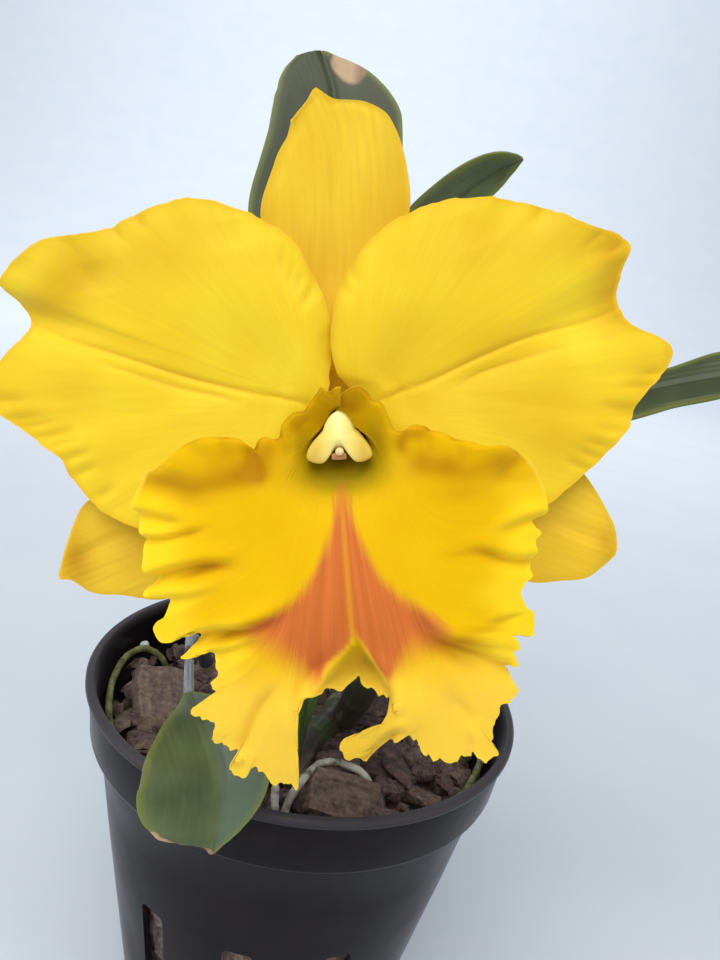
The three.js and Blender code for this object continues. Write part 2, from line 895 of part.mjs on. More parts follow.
// Rings of the tube that the lip rolls round the column: middle, half sizes, depth at the top
// and at the bottom, and how far the right margin tucks in under the left one.
const LIP_RINGS = [
  { middle: [0, -2], half: [4.6, 4.6], top: 0.6, bottom: 0.6, tuck: 0.8 },
  { middle: [0, -4.6], half: [8.4, 8.4], top: 11, bottom: 13, tuck: 1.15 },
  { middle: [0, -7], half: [10.4, 10.8], top: 18, bottom: 26, tuck: 1.15 },
];
const LIP_START = 84; // degrees, where the left margin starts
const LIP_TURN = 372; // degrees round to the end of the right margin
const LIP_KNOTS = [0, 0.2, 0.4, 0.7, 1];

// A list of points averaged over its neighbours, with its two ends kept.
function calmed(points, reach) {
  return points.map((point, i) => {
    const span = Math.min(reach, i, points.length - 1 - i);
    const mean = new THREE.Vector3();
    for (let k = i - span; k <= i + span; k += 1) mean.add(points[k]);
    return mean.divideScalar(2 * span + 1);
  });
}

// Where on the mouth each point of the edge belongs: its bearing, calmed and always growing.
function mouthBearings(points, reach) {
  const bearings = points.map((p) => {
    const angle = THREE.MathUtils.radToDeg(Math.atan2(p.y - LIP_HEART[1], p.x - LIP_HEART[0]));
    return new THREE.Vector3(angle, 0, 0);
  });
  for (let i = 1; i < bearings.length; i += 1) {
    while (bearings[i].x < bearings[i - 1].x - 180) bearings[i].x += 360;
  }
  const growing = calmed(bearings, reach).map((v) => v.x);
  for (let i = 1; i < growing.length; i += 1) {
    growing[i] = Math.max(growing[i], growing[i - 1] + LEAST_BEARING_STEP);
  }
  const first = growing[0];
  const span = growing[growing.length - 1] - first;
  return growing.map((angle) => LIP_START + ((angle - first) / span) * LIP_TURN);
}

// The right lobe's inner corner curls forward in a small flap.
const LIP_FLAP = {
  middle: [
    [12, -61.5, 33.6],
    [7.5, -64.2, 34.6],
    [3, -65.6, 37],
    [-1.2, -65.8, 39.2],
  ],
  across: [0, -1, 0.2],
  left: [[0, 2.6], [0.5, 2.4], [1, 1.1]],
  right: [[0, 2.6], [0.5, 2.2], [1, 1.3]],
};
const FLAP_GRID = [5, 2];

function lipSolid() {
  const line = curve(LIP_EDGE);
  const columns = Math.round((LIP_EDGE.length - 1) * LIP_FINENESS);
  const reach = Math.round(LIP_CALM * LIP_FINENESS);
  const edge = line.getPoints(columns);
  const calm = calmed(edge, reach);
  const bearings = mouthBearings(edge, reach);
  const ringPoint = (ring, degrees, t) => {
    const tuck = ring.tuck * smoothstep(t, 0.86, 0.97);
    const x = ring.middle[0] + (ring.half[0] - tuck) * Math.cos(radians(degrees));
    const y = ring.middle[1] + (ring.half[1] - tuck) * Math.sin(radians(degrees));
    const low = 0.5 - 0.5 * Math.sin(radians(degrees));
    return new THREE.Vector3(x, y, lerp(ring.top, ring.bottom, low));
  };
  const surface = (t, s) => {
    const i = Math.round(t * columns);
    const rings = LIP_RINGS.map((ring) => ringPoint(ring, bearings[i], t));
    const low = Math.max(0, 0.3 - Math.sin(radians(bearings[i])));
    const half = rings[2].clone().lerp(calm[i], 0.55);
    half.z += 3.6 * Math.min(1, low);
    const spine = [...rings, half, calm[i]];
    const at = (axis) => through(spine.map((p, k) => [LIP_KNOTS[k], p[axis]]), s);
    const ruffle = edge[i].clone().sub(calm[i]);
    const ramp = Math.max(0, (s - 0.4) / 0.6) ** 1.4;
    return new THREE.Vector3(at("x"), at("y"), at("z")).addScaledVector(ruffle, ramp);
  };
  const body = sheet(surface, columns, LIP_ROWS, LIP_THICKNESS);
  return fuse([body, blade(LIP_FLAP, LIP_THICKNESS, FLAP_GRID)]);
}

function petalSolid({ heart, edge }) {
  const line = new THREE.CatmullRomCurve3(edge.map((p) => new THREE.Vector3(...p)), true);
  const middle = new THREE.Vector3(...heart);
  const columns = edge.length * 2;
  const rim = line.getPoints(columns).slice(0, columns);
  const calm = rim.map((point, i) => {
    let depth = 0;
    for (let k = -PETAL_CALM; k <= PETAL_CALM; k += 1) depth += rim[(i + k + columns) % columns].z;
    return depth / (2 * PETAL_CALM + 1);
  });
  const surface = (t, s) => {
    const i = Math.round(t * columns) % columns;
    const point = middle.clone().lerp(new THREE.Vector3(rim[i].x, rim[i].y, calm[i]), s);
    point.z += PETAL_ARCH * Math.sin(Math.PI * s) * smoothstep(s, 0, 0.5);
    point.z += (rim[i].z - calm[i]) * s ** 3;
    return point;
  };
  return sheet(surface, columns, PETAL_ROWS, PETAL_THICKNESS, { around: true, pole: true });
}

// The column: round at its foot, ending in a hood with two wings and a notch between them.
const COLUMN_FOOT = 3;
const HOOD_MIDDLE = [0, -5];
const HOOD = [
  [-90, 3],
  [-74, 3.8],
  [-58, 6.1],
  [-30, 7.7],
  [-8, 5.2],
  [20, 4.2],
  [55, 4.4],
  [90, 5.5],
];
const COLUMN_SIDES = 20;
const COLUMN_STEPS = 7;

function columnSolid() {
  const profile = [new THREE.Vector2(0, 0)];
  for (let k = 0; k <= COLUMN_STEPS; k += 1) profile.push(new THREE.Vector2(1, k));
  profile.push(new THREE.Vector2(0, COLUMN_STEPS));
  const turned = new THREE.LatheGeometry(profile, COLUMN_SIDES);
  const place = turned.attributes.position;
  for (let n = 0; n < place.count; n += 1) {
    const reach = Math.hypot(place.getX(n), place.getZ(n));
    const bearing = Math.atan2(place.getZ(n), place.getX(n));
    const folded = THREE.MathUtils.radToDeg(Math.asin(Math.sin(bearing)));
    const z = lerp(COLUMN_BACK, COLUMN_LENGTH, place.getY(n) / COLUMN_STEPS);
    const hooded = smoothstep(z, 6, COLUMN_LENGTH - 1) ** 1.5;
    const radius = lerp(COLUMN_FOOT, through(HOOD, folded), hooded) * reach;
    place.setXYZ(
      n,
      radius * Math.cos(bearing),
      lerp(-2, HOOD_MIDDLE[1], hooded) + radius * Math.sin(bearing),
      z,
    );
  }
  turned.index.array.reverse();
  return turned;
}

// ---------------------------------------------------------------- assembly

const plant = new THREE.Group();

function show(parent, name, shape, color, roughness, metalness = 0) {
  const geometry = shape.isBufferGeometry ? shape : geometryOf(shape);
  const material = new THREE.MeshStandardMaterial({ color, roughness, metalness });
  const mesh = new THREE.Mesh(geometry, material);
  mesh.name = name;
  parent.add(mesh);
  return mesh;
}

const rhizome = stem(RHIZOME.points, RHIZOME.radii, STEM_SIDES, 14);
const rhizomeRoom = stem(RHIZOME.points, fatter(RHIZOME.radii, GAP), STEM_SIDES, 14);
const clearances = [rhizomeRoom, stem(CANE.points, fatter(CANE.radii, GAP), 10, 16)];

show(plant, "pot", potSolid(), POT_BLACK, 0.45);
show(plant, "rhizome", rhizome, STEM_GREEN, 0.7);

for (const [name, points] of Object.entries(BULBS)) {
  const bulb = manifoldOf(stem(points, BULB_RADII, STEM_SIDES, 12));
  show(plant, name, cut(bulb, [rhizomeRoom]), STEM_GREEN, 0.55);
  clearances.push(stem(points, fatter(BULB_RADII, GAP), STEM_SIDES, 12));
}
show(plant, "cane", stem(CANE.points, CANE.radii, 10, 16), STEM_GREEN, 0.55);

for (const [name, root] of Object.entries(ROOTS)) {
  const inAir = name === "root_front" || name === "root_stub";
  show(plant, name, rootSolid(root), inAir ? ROOT_WHITE : ROOT_GREEN, 0.85);
  clearances.push(rootSolid(root, GAP));
}

const bead = new THREE.IcosahedronGeometry(BEAD.radius, 1);
bead.translate(...BEAD.centre);
const beadRoom = new THREE.IcosahedronGeometry(BEAD.radius + GAP, 1);
beadRoom.translate(...BEAD.centre);
clearances.push(beadRoom);
show(plant, "fertiliser_bead", bead, 0xe8e8e4, 0.4);

show(plant, "bark_mix", barkSolid(clearances), BARK_BROWN, 0.95);

for (const [name, leaf] of Object.entries(LEAVES)) {
  const thickness = name === "leaf_front_left" ? FRONT_LEAF_THICKNESS : LEAF_THICKNESS;
  show(plant, name, blade(leaf, thickness, LEAF_GRID), LEAF_GREEN, 0.5);
}

show(plant, "flower_stem", stem(STALK.points, STALK.radii, 10, 8), STEM_GREEN, 0.5);
show(plant, "flower_sheath", sheathSolid(), OCHRE, 0.8);
show(plant, "ovary", stem(OVARY.points, OVARY.radii, STEM_SIDES, 8), STEM_GREEN, 0.5);

const bloom = new THREE.Group();
bloom.position.set(...BLOOM_CENTRE);
bloom.rotation.set(radians(90 - BLOOM_TILT_UP), 0, radians(BLOOM_LEAN));
plant.add(bloom);

for (const [name, sepal] of Object.entries(SEPALS)) {
  show(bloom, name, blade(sepal, PETAL_THICKNESS, SEPAL_GRID), name === "dorsal_sepal" ? YELLOW : OCHRE, 0.6);
}
for (const [name, petal] of Object.entries(PETALS)) {
  show(bloom, name, petalSolid(petal), YELLOW, 0.6);
}
show(bloom, "lip", lipSolid(), YELLOW, 0.6);
show(bloom, "column", columnSolid(), CREAM, 0.5);

const cap = new THREE.SphereGeometry(1.5, 12, 8);
cap.scale(1, 0.8, 0.8);
cap.translate(0, -7, COLUMN_LENGTH + 1.6);
show(bloom, "anther_cap", cap, 0xd9a78a, 0.6);

export default plant;
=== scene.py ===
# %% [markdown]
# # A cattleya orchid in its pot
# This notebook dresses a finished CAD model of a flowering orchid. Each of them is plain, so each
# gets a finer piece here that stands where the solid does, and every piece gets a material that is
# worked out by nodes.

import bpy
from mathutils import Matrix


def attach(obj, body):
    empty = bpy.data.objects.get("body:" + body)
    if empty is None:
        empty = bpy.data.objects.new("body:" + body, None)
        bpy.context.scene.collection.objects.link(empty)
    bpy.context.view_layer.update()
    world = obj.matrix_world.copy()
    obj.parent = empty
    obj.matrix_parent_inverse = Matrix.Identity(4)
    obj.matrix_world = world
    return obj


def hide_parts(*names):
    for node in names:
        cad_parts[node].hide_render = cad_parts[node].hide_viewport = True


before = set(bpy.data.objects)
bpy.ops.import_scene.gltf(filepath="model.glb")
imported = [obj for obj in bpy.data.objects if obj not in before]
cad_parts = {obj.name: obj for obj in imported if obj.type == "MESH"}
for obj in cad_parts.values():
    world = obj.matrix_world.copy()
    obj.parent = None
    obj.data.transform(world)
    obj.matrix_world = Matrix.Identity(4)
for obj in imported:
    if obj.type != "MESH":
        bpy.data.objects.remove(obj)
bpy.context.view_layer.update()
print(len(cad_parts), "CAD nodes loaded")

# %% [markdown]
# ## Tools
# Blender's own operators make the meshes, and numpy works out where many vertices go at once.
# All sizes below are millimetres, because a flower is small. They become metres in one place.

# %% Imports and units
import math

import bpy
import numpy as np
from mathutils import Matrix, Vector

MM = 0.001
rad = math.radians


def nothing_selected():
    """Operators act on all that is selected, and the loaded CAD nodes are."""
    if bpy.context.mode != "OBJECT":
        bpy.ops.object.mode_set(mode="OBJECT")
    bpy.ops.object.select_all(action="DESELECT")


def select_only(*pieces):
    """Select these pieces and nothing else. The first one is the active one."""
    nothing_selected()
    for piece in pieces:
        piece.select_set(True)
    bpy.context.view_layer.objects.active = pieces[0]


def unit(ways):
    """The same directions, each with a length of 1."""
    return ways / np.linalg.norm(ways, axis=1)[:, None]


def ease(x, low, high):
    """0 below low, 1 above high, and a soft step between."""
    t = np.clip((np.asarray(x, float) - low) / (high - low), 0, 1)
    return t * t * (3 - 2 * t)


# %% [markdown]
# ## Camera
# The camera stands a hand's length in front of the flower and looks 15 degrees down on it. It is
# also turned about its own axis by 10.5 degrees, as a camera in the hand often is. A matrix says
# this most plainly: its columns are the camera's right, its up, and the way back from the view.

# %% Camera
pitch, roll = rad(15), rad(10.5)
CAMERA_PLACE = (0.006, -0.25, 0.272)
FOCAL_LENGTH_PX, PICTURE_HEIGHT_PX, SENSOR_MM = 776, 960, 36
ahead = Vector((0, math.cos(pitch), -math.sin(pitch)))
level_right = Vector((1, 0, 0))
level_up = Vector((0, math.sin(pitch), math.cos(pitch)))
right = level_right * math.cos(roll) + level_up * math.sin(roll)
up = level_up * math.cos(roll) - level_right * math.sin(roll)
nothing_selected()
bpy.ops.object.camera_add()
camera = bpy.context.object
camera.matrix_world = Matrix((
    (right.x, up.x, -ahead.x, CAMERA_PLACE[0]),
    (right.y, up.y, -ahead.y, CAMERA_PLACE[1]),
    (right.z, up.z, -ahead.z, CAMERA_PLACE[2]),
    (0, 0, 0, 1),
))
camera.data.sensor_width = SENSOR_MM  # it spans the longer side of the picture, its height
camera.data.lens = SENSOR_MM * FOCAL_LENGTH_PX / PICTURE_HEIGHT_PX
bpy.context.scene.camera = camera
print("camera at", [round(c, 3) for c in camera.location], "lens", round(camera.data.lens, 1), "mm")

# %% [markdown]
# ## Colours and nodes
# Colours are written as hex codes, as in a paint program. Blender's shaders add light, so they need
# the linear value, and one function turns every code. One more adds a node, sets it and wires it.

# %% Colour and node helpers
def linear(code):
    """An sRGB hex code as the linear colour that shaders use."""
    parts = [int(code[i:i + 2], 16) / 255 for i in (1, 3, 5)]
    return (*[c / 12.92 if c <= 0.04045 else ((c + 0.055) / 1.055) ** 2.4 for c in parts], 1)


def add(finish, kind, settings=None, **links):
    """Add a node. Settings are its properties or its sockets' values, links feed its sockets."""
    node = finish.node_tree.nodes.new("ShaderNode" + kind)
    for name, value in (settings or {}).items():
        if name == "stops":
            while len(node.color_ramp.elements) < len(value):
                node.color_ramp.elements.new(1)
            for stop, (place, tone) in zip(node.color_ramp.elements, value):
                stop.position = place
                stop.color = linear(tone) if isinstance(tone, str) else (tone, tone, tone, 1)
        elif isinstance(name, str) and hasattr(node, name):
            setattr(node, name, value)
        else:
            node.inputs[name].default_value = linear(value) if isinstance(value, str) else value
    for name, socket in links.items():
        name = int(name[1:]) if name[0] == "i" and name[1:].isdigit() else name.replace("_", " ")
        finish.node_tree.links.new(socket, node.inputs[name])
    return node.outputs


def new_finish(name, ior, roughness, **sockets):
    """A material with its Principled shader, whose constant values are set on the shader itself."""
    finish = bpy.data.materials.new(name)
    finish.use_nodes = True
    shader = finish.node_tree.nodes["Principled BSDF"]
    shader.inputs["IOR"].default_value = ior
    shader.inputs["Roughness"].default_value = roughness
    for socket, value in sockets.items():
        shader.inputs[socket.replace("_", " ")].default_value = value
    return finish


def wire(finish, **links):
    """Feed sockets of a material's Principled shader."""
    shader = finish.node_tree.nodes["Principled BSDF"]
    for name, socket in links.items():
        finish.node_tree.links.new(socket, shader.inputs[name.replace("_", " ")])
    print("material", finish.name, "has", len(finish.node_tree.nodes), "nodes")


print("a middle grey of #808080 is", round(linear("#808080")[0], 3), "in linear light")

# %% [markdown]
# ## Studio
# A large pale sheet of paper makes the floor and runs up behind the plant in a wide curve, so that
# no line shows where they meet. The paper starts as a plane. Its far edge is extruded upwards and
# the fold is bevelled round. One big soft light stands above and in front, a second one fills from
# the left, and the sky around is pale, so every shadow is soft.

# %% Paper sweep
nothing_selected()
bpy.ops.mesh.primitive_plane_add(size=8, location=(0, 1, 0))
paper = bpy.context.object
paper.name = "studio_paper"
bpy.ops.object.mode_set(mode="EDIT")
bpy.ops.mesh.select_all(action="DESELECT")
bpy.ops.object.mode_set(mode="OBJECT")
for edge in paper.data.edges:
    edge.select = all(paper.data.vertices[i].co.y > 3.9 for i in edge.vertices)
bpy.ops.object.mode_set(mode="EDIT")
bpy.ops.mesh.select_mode(type="EDGE")
bpy.ops.mesh.extrude_region_move(TRANSFORM_OT_translate={"value": (0, 0, 5)})
bpy.ops.object.mode_set(mode="OBJECT")
for edge in paper.data.edges:
    edge.select = all(
        paper.data.vertices[i].co.y > 3.9 and paper.data.vertices[i].co.z < 0.1 for i in edge.vertices
    )
bpy.ops.object.mode_set(mode="EDIT")
bpy.ops.mesh.bevel(offset=2.5, segments=16)
bpy.ops.object.mode_set(mode="OBJECT")
bpy.ops.object.shade_smooth()
studio_paper = new_finish("matt_studio_paper", 1.45, 0.9)  # matt, so it takes no highlight
paper_place = add(studio_paper, "TexCoord")["Object"]
paper_fibre = add(studio_paper, "TexNoise", {"Scale": 9.0, "Detail": 4.0}, Vector=paper_place)["Fac"]
paper_tone = add(studio_paper, "ValToRGB", {"stops": [(0.3, "#DFE5EC"), (0.7, "#E3E8EE")]},
                 Fac=paper_fibre)
wire(studio_paper, Base_Color=paper_tone["Color"])
paper.data.materials.append(studio_paper)

# %% Lights and sky
def soft_box(name, place, aim, size, watts, tone):
    """A square area light at a place, turned towards what it lights."""
    nothing_selected()
    bpy.ops.object.light_add(type="AREA", location=place)
    lamp = bpy.context.object
    lamp.name = name
    lamp.rotation_euler = (Vector(aim) - Vector(place)).to_track_quat("-Z", "Y").to_euler()
    lamp.data.shape = "RECTANGLE"
    lamp.data.size, lamp.data.size_y = size
    lamp.data.energy = watts
    lamp.data.color = linear(tone)[:3]


soft_box("top_light", (-0.18, -0.75, 1.25), (0, -0.02, 0.2), (1.1, 1.1), 14.5, "#FFFDF8")
soft_box("left_light", (-1.1, -0.45, 0.35), (0, 0, 0.12), (0.5, 1.0), 3.2, "#EAF2FF")
soft_box("right_light", (1.0, -0.6, 0.3), (0.1, 0, 0.1), (0.5, 0.9), 2.2, "#F2F6FF")
soft_box("paper_light", (-0.5, 1.0, 2.8), (-0.3, 4.4, 1.75), (3.0, 2.0), 132, "#F8FAFF")

sky = bpy.data.worlds.new("studio_sky")
bpy.context.scene.world = sky
sky.use_nodes = True
sky.node_tree.nodes["Background"].inputs["Color"].default_value = linear("#D3DBE4")
sky.node_tree.nodes["Background"].inputs["Strength"].default_value = 0.5
bpy.context.scene.view_settings.view_transform = "Standard"  # keeps a strong yellow strong
print("studio ready")

# %% [markdown]
# ## Lines and sheets
# Petals, leaves and stems are grown shapes with no straight part, so each one is described by a few
# measured points with a smooth line through them. Its mesh starts as Blender's flat grid, and
# every vertex is then moved to its place on the shape by a formula, because extruding and scaling
# by hand can't follow such a form. Seams and poles are merged, and Solidify gives the thickness.

# %% Smooth lines
def smooth_line(points, shares, closed=False):
    """Places on the smooth line through the points (Catmull-Rom), at shares of its run."""
    p = np.array(points, float)
    ends = (p[-1:], p[:2]) if closed else (2 * p[:1] - p[1:2], 2 * p[-1:] - p[-2:-1])
    p = np.vstack([ends[0], p, ends[1]])
    spans = len(p) - 3
    place = np.clip(np.asarray(shares, float), 0, 1) * spans
    i = np.minimum(place.astype(int), spans - 1)
    w = (place - i)[:, None]
    p0, p1, p2, p3 = (p[i + k] for k in range(4))
    a, b, c = (np.maximum(((end - start) ** 2).sum(1) ** 0.25, 1e-4)[:, None]
               for start, end in ((p0, p1), (p1, p2), (p2, p3)))
    leave = ((p1 - p0) / a - (p2 - p0) / (a + b) + (p2 - p1) / b) * b
    reach = ((p2 - p1) / b - (p3 - p1) / (b + c) + (p3 - p2) / c) * b
    return (p1 + leave * w + (3 * (p2 - p1) - 2 * leave - reach) * w**2
            + (2 * (p1 - p2) + leave + reach) * w**3)


def even_line(points, shares, closed=False):
    """The same line at even shares of its length, and that length."""
    fine = np.linspace(0, 1, 4001)
    path = smooth_line(points, fine, closed)
    run = np.append(0, np.cumsum(np.linalg.norm(np.diff(path, axis=0), axis=1)))
    return smooth_line(points, np.interp(np.asarray(shares) * run[-1], run, fine), closed), run[-1]


# %% Values along a line
def bent(a, b, slope_a, slope_b, t):
    """From a at t = 0 to b at t = 1 along a cubic that leaves and arrives at the given slopes."""
    return ((2 * t**3 - 3 * t**2 + 1) * a + (t**3 - 2 * t**2 + t) * slope_a
            + (3 * t**2 - 2 * t**3) * b + (t**3 - t**2) * slope_b)


def through(pairs, u):
    """A smooth value at u through (u, value) pairs."""
    pairs, u = np.array(pairs, float), np.asarray(u, float)
    last = len(pairs) - 1
    i = np.clip(np.searchsorted(pairs[1:, 0], u), 0, last - 1)
    (u0, a), (u1, b) = pairs[i].T, pairs[i + 1].T
    before, after = pairs[np.maximum(i - 1, 0)].T, pairs[np.minimum(i + 2, last)].T
    span = u1 - u0
    slope_a = (b - before[1]) / (u1 - before[0]) * span
    slope_b = (after[1] - a) / (after[0] - u0) * span
    return bent(a, b, slope_a, slope_b, np.clip((u - u0) / span, 0, 1))


def wobble(run, period, seed, loop=False):
    """A smooth random wave between -1 and 1 along a run in mm, the same on every run of the file."""
    steps = max(int(np.ceil(np.max(run) / period)), 2)
    values = np.random.default_rng(seed).uniform(-1, 1, steps + 1)
    if loop:
        values[-1] = values[0]
    place = np.asarray(run) / np.max(run) * steps
    i = np.minimum(place.astype(int), steps - 1)
    return values[i] + (values[i + 1] - values[i]) * ease(place - i, 0, 1)


# %% Creases and patches
def nearest(at, line, fineness):
    """For places `at`: squared distance to a line, share along it, and side (1 above, -1 below)."""
    line = smooth_line(line, np.linspace(0, 1, fineness * len(line)))
    near = np.full(len(at), 1e9)
    side, share = np.zeros(len(at)), np.zeros(len(at))
    for k in range(len(line) - 1):
        step = line[k + 1] - line[k]
        t = np.clip((at - line[k]) @ step / max(step @ step, 1e-9), 0, 1)
        gap = at - line[k] - t[:, None] * step
        gap_size = (gap**2).sum(1)
        closer = gap_size < near
        up = np.array([-step[1], step[0]]) * (1 if step[0] > 0 else -1)
        side = np.where(closer, np.sign(gap @ up), side)
        share = np.where(closer, (k + t) / (len(line) - 1), share)
        near = np.minimum(gap_size, near)
    return near, share, side


def crease(at, line, width, depth):
    """How far a soft valley (minus) or ridge (plus) along a line moves the places `at`."""
    near, share, _ = nearest(at, line, 5)
    return depth * np.exp(-near / width**2) * np.sin(math.pi * (0.06 + 0.88 * share)) ** 0.7


def patches(at, table):
    """Soft patches of strength s round places (x, y), with half sizes a and b, added up."""
    return sum(s * np.exp(-((at[:, 0] - x) / a) ** 2 - ((at[:, 1] - y) / b) ** 2)
               for x, y, a, b, s in table)


# %% Grid pieces
def grid_piece(name, columns, rows, places, marks, rolled=False):
    """Blender's grid with each vertex moved to its place in mm. Marks are kept for the materials."""
    nothing_selected()
    bpy.ops.mesh.primitive_grid_add(x_subdivisions=columns, y_subdivisions=rows, size=1, calc_uvs=True)
    piece = bpy.context.object
    piece.name = piece.data.name = name
    piece.data.vertices.foreach_set("co", (places * MM).ravel())
    for mark, values in marks.items():
        piece.data.attributes.new(mark, "FLOAT", "POINT").data.foreach_set("value", values)
    bpy.ops.object.mode_set(mode="EDIT")
    bpy.ops.mesh.select_all(action="SELECT")
    bpy.ops.mesh.remove_doubles(threshold=1e-6)
    if rolled:
        bpy.ops.mesh.normals_make_consistent(inside=False)
    bpy.ops.object.mode_set(mode="OBJECT")
    return piece


def shares(columns, rows):
    """The share across and the share along for every vertex of such a grid, in the grid's order."""
    across, along = np.meshgrid(np.arange(columns + 1) / columns, np.arange(rows + 1) / rows)
    return across.ravel(), along.ravel()


# %% Thickness
THIN_STEPS, THINNEST = 12, 0.15  # steps of the mark thin, and the share of thickness left where it is 0


def thicken(piece, thickness):
    """A thin sheet gets its thickness on both sides, less where a mark called thin is below 1."""
    bpy.ops.object.modifier_add(type="SOLIDIFY")
    wall = piece.modifiers[-1]
    wall.thickness, wall.offset = thickness * MM, 0
    if "thin" in piece.data.attributes:
        group = piece.vertex_groups.new(name="body")
        levels = np.empty(len(piece.data.vertices))
        piece.data.attributes["thin"].data.foreach_get("value", levels)
        levels = np.round(levels * THIN_STEPS).astype(int)
        for level in range(THIN_STEPS + 1):
            vertices = np.nonzero(levels == level)[0].tolist()
            group.add(vertices, level / THIN_STEPS, "REPLACE")
        wall.vertex_group, wall.thickness_vertex_group = group.name, THINNEST
    bpy.ops.object.modifier_apply(modifier=wall.name)


# %% Finish a piece
def finished(piece, finish, node, angle=50):
    """Smooth shading, material, and what the piece stands for in the CAD model."""
    select_only(piece)
    bpy.ops.object.shade_smooth_by_angle(angle=rad(angle))
    piece.data.materials.clear()
    piece.data.materials.append(finish)
    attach(piece, "root")
    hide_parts(node)
    print(piece.name, len(piece.data.polygons), "faces")


# %% [markdown]
# ## Living tissue
# A petal is a thin, soft sheet of cells filled with yellow sap. Light goes in, spreads and comes out
# again, so the shader gets a little subsurface light. Fine veins run from the claw to the edge, and
# the tiny domed cells of the skin scatter light like velvet. Each sheet carries marks: across and
# along follow its veins in millimetres, edge is the distance to its margin, tint is a deeper colour,
# which is mostly painted shade in creases, folds and shaded places.

# %% Petal, sepal and lip tissue
def fibres(finish, stretch, scale, **settings):
    """Noise along the grown fibres: its unit is 1 mm across them, and 1 / stretch mm along them."""
    across, along = (add(finish, "Attribute", {"attribute_name": m})["Fac"] for m in ("across", "along"))
    slow = add(finish, "Math", {"operation": "MULTIPLY", 1: stretch}, i0=along)[0]
    flow = add(finish, "CombineXYZ", X=across, Y=slow)[0]
    return add(finish, "TexNoise", {"Scale": scale, **settings}, Vector=flow)["Fac"]


def tissue(name, pale, full, deep, margin, vein=0.25, gloss=0.25):
    """Flower tissue: two soft tones, fine veins, a margin colour and velvet skin cells.
    Where the mark tint is, the colour deepens: mostly painted shade.
    """
    finish = new_finish(name, 1.4, 0.52, Subsurface_Weight=0.18, Subsurface_Scale=0.0012,
                        Subsurface_Radius=(1.0, 0.6, 0.15), Sheen_Weight=0.04, Sheen_Roughness=0.5,
                        Specular_IOR_Level=gloss)
    mark = {m: add(finish, "Attribute", {"attribute_name": m})["Fac"] for m in ("edge", "tint")}
    place = add(finish, "TexCoord")["Object"]
    fine = fibres(finish, 0.06, 0.85, Detail=3.0, Roughness=0.6)  # veins 1.2 mm apart
    wide = add(finish, "TexNoise", {"Scale": 34.0, "Detail": 2.0}, Vector=place)["Fac"]  # 30 mm clouds
    cells = add(finish, "TexNoise", {"Scale": 1500.0, "Detail": 1.0}, Vector=place)["Fac"]  # 0.7 mm
    cloud = add(finish, "ValToRGB", {"stops": [(0.35, pale), (0.68, full)]}, Fac=wide)["Color"]
    streak = add(finish, "ValToRGB", {"stops": [(0.35, 0.0), (0.8, 1.0)]}, Fac=fine)["Color"]
    share = add(finish, "Math", {"operation": "MULTIPLY", 1: vein}, i0=streak)[0]
    veined = add(finish, "Mix", {"data_type": "RGBA", 7: deep}, i0=share, i6=cloud)[2]
    # The mark tint darkens the colour towards deep: mostly painted shade.
    dyed = add(finish, "Mix", {"data_type": "RGBA", 7: deep}, i0=mark["tint"], i6=veined)[2]
    # Near the edge the margin colour is mixed in. On the lip it is lighter: a painted highlight.
    rim = add(finish, "MapRange", {"From Min": 1.4, "From Max": 0.4, "To Max": 0.8}, Value=mark["edge"])[0]
    edged = add(finish, "Mix", {"data_type": "RGBA", 7: margin}, i0=rim, i6=dyed)[2]
    skin = add(finish, "Math", {"operation": "MULTIPLY", 1: 0.35}, i0=cells)[0]
    relief = add(finish, "Math", {"operation": "ADD"}, i0=fine, i1=skin)[0]
    bump = add(finish, "Bump", {"Strength": 0.14, "Distance": 0.0003}, Height=relief)["Normal"]
    wire(finish, Base_Color=edged, Normal=bump)
    return finish, edged


petal_tissue, _ = tissue("petal_tissue", "#F9DA2C", "#F2CA1E", "#CF9A08", "#F0C024", vein=0.16)
sepal_tissue, _ = tissue("sepal_tissue", "#F8D236", "#F0C226", "#BE8A08", "#EDBE28", vein=0.22)

# %% [markdown]
# ## The flower's own frame
# The flower looks slightly upwards and leans to one side. Its parts are easiest to measure facing
# it: x to the right, y up, z out of its face. One small matrix carries those places to the plant.

# %% Flower frame
BLOOM_CENTRE = np.array([-1.1, -68.4, 238.9])
tilt, lean = rad(80), rad(13)
BLOOM_AXES = np.array([
    [math.cos(lean), math.sin(lean) * math.cos(tilt), math.sin(lean) * math.sin(tilt)],
    [-math.sin(lean), math.cos(lean) * math.cos(tilt), math.cos(lean) * math.sin(tilt)],
    [0, -math.sin(tilt), math.cos(tilt)],
])


def in_bloom(places):
    """The same places on the plant."""
    return BLOOM_CENTRE + places @ BLOOM_AXES


def calmed(values, reach, loop=False):
    """Values averaged over their neighbours. An open row keeps its two ends."""
    if loop:
        ring = np.concatenate([values[-reach - 1:-1], values, values[1:reach + 1]])
        total = np.cumsum(np.insert(ring, 0, 0, axis=0), axis=0)
        return (total[2 * reach + 1:] - total[:-2 * reach - 1]) / (2 * reach + 1)
    total = np.cumsum(np.insert(values, 0, 0, axis=0), axis=0)
    i = np.arange(len(values))
    span = np.minimum(np.minimum(reach, i), len(values) - 1 - i)
    width = (2 * span + 1).reshape(-1, *[1] * (values.ndim - 1))
    return (total[i + span + 1] - total[i - span]) / width


print("the flower's centre is at", BLOOM_CENTRE, "mm")


# %% [markdown]
# ## Petals
# The two broad petals are nearly flat fans with a shallow valley along the middle vein, weaker
# creases beside it, and small crinkles where the edge is longer than the sheet it borders. The
# edge is one closed line. Straight rules run from it to a heart point near the claw, and the
# creases are added as soft valleys along measured lines, so that the light finds real relief.

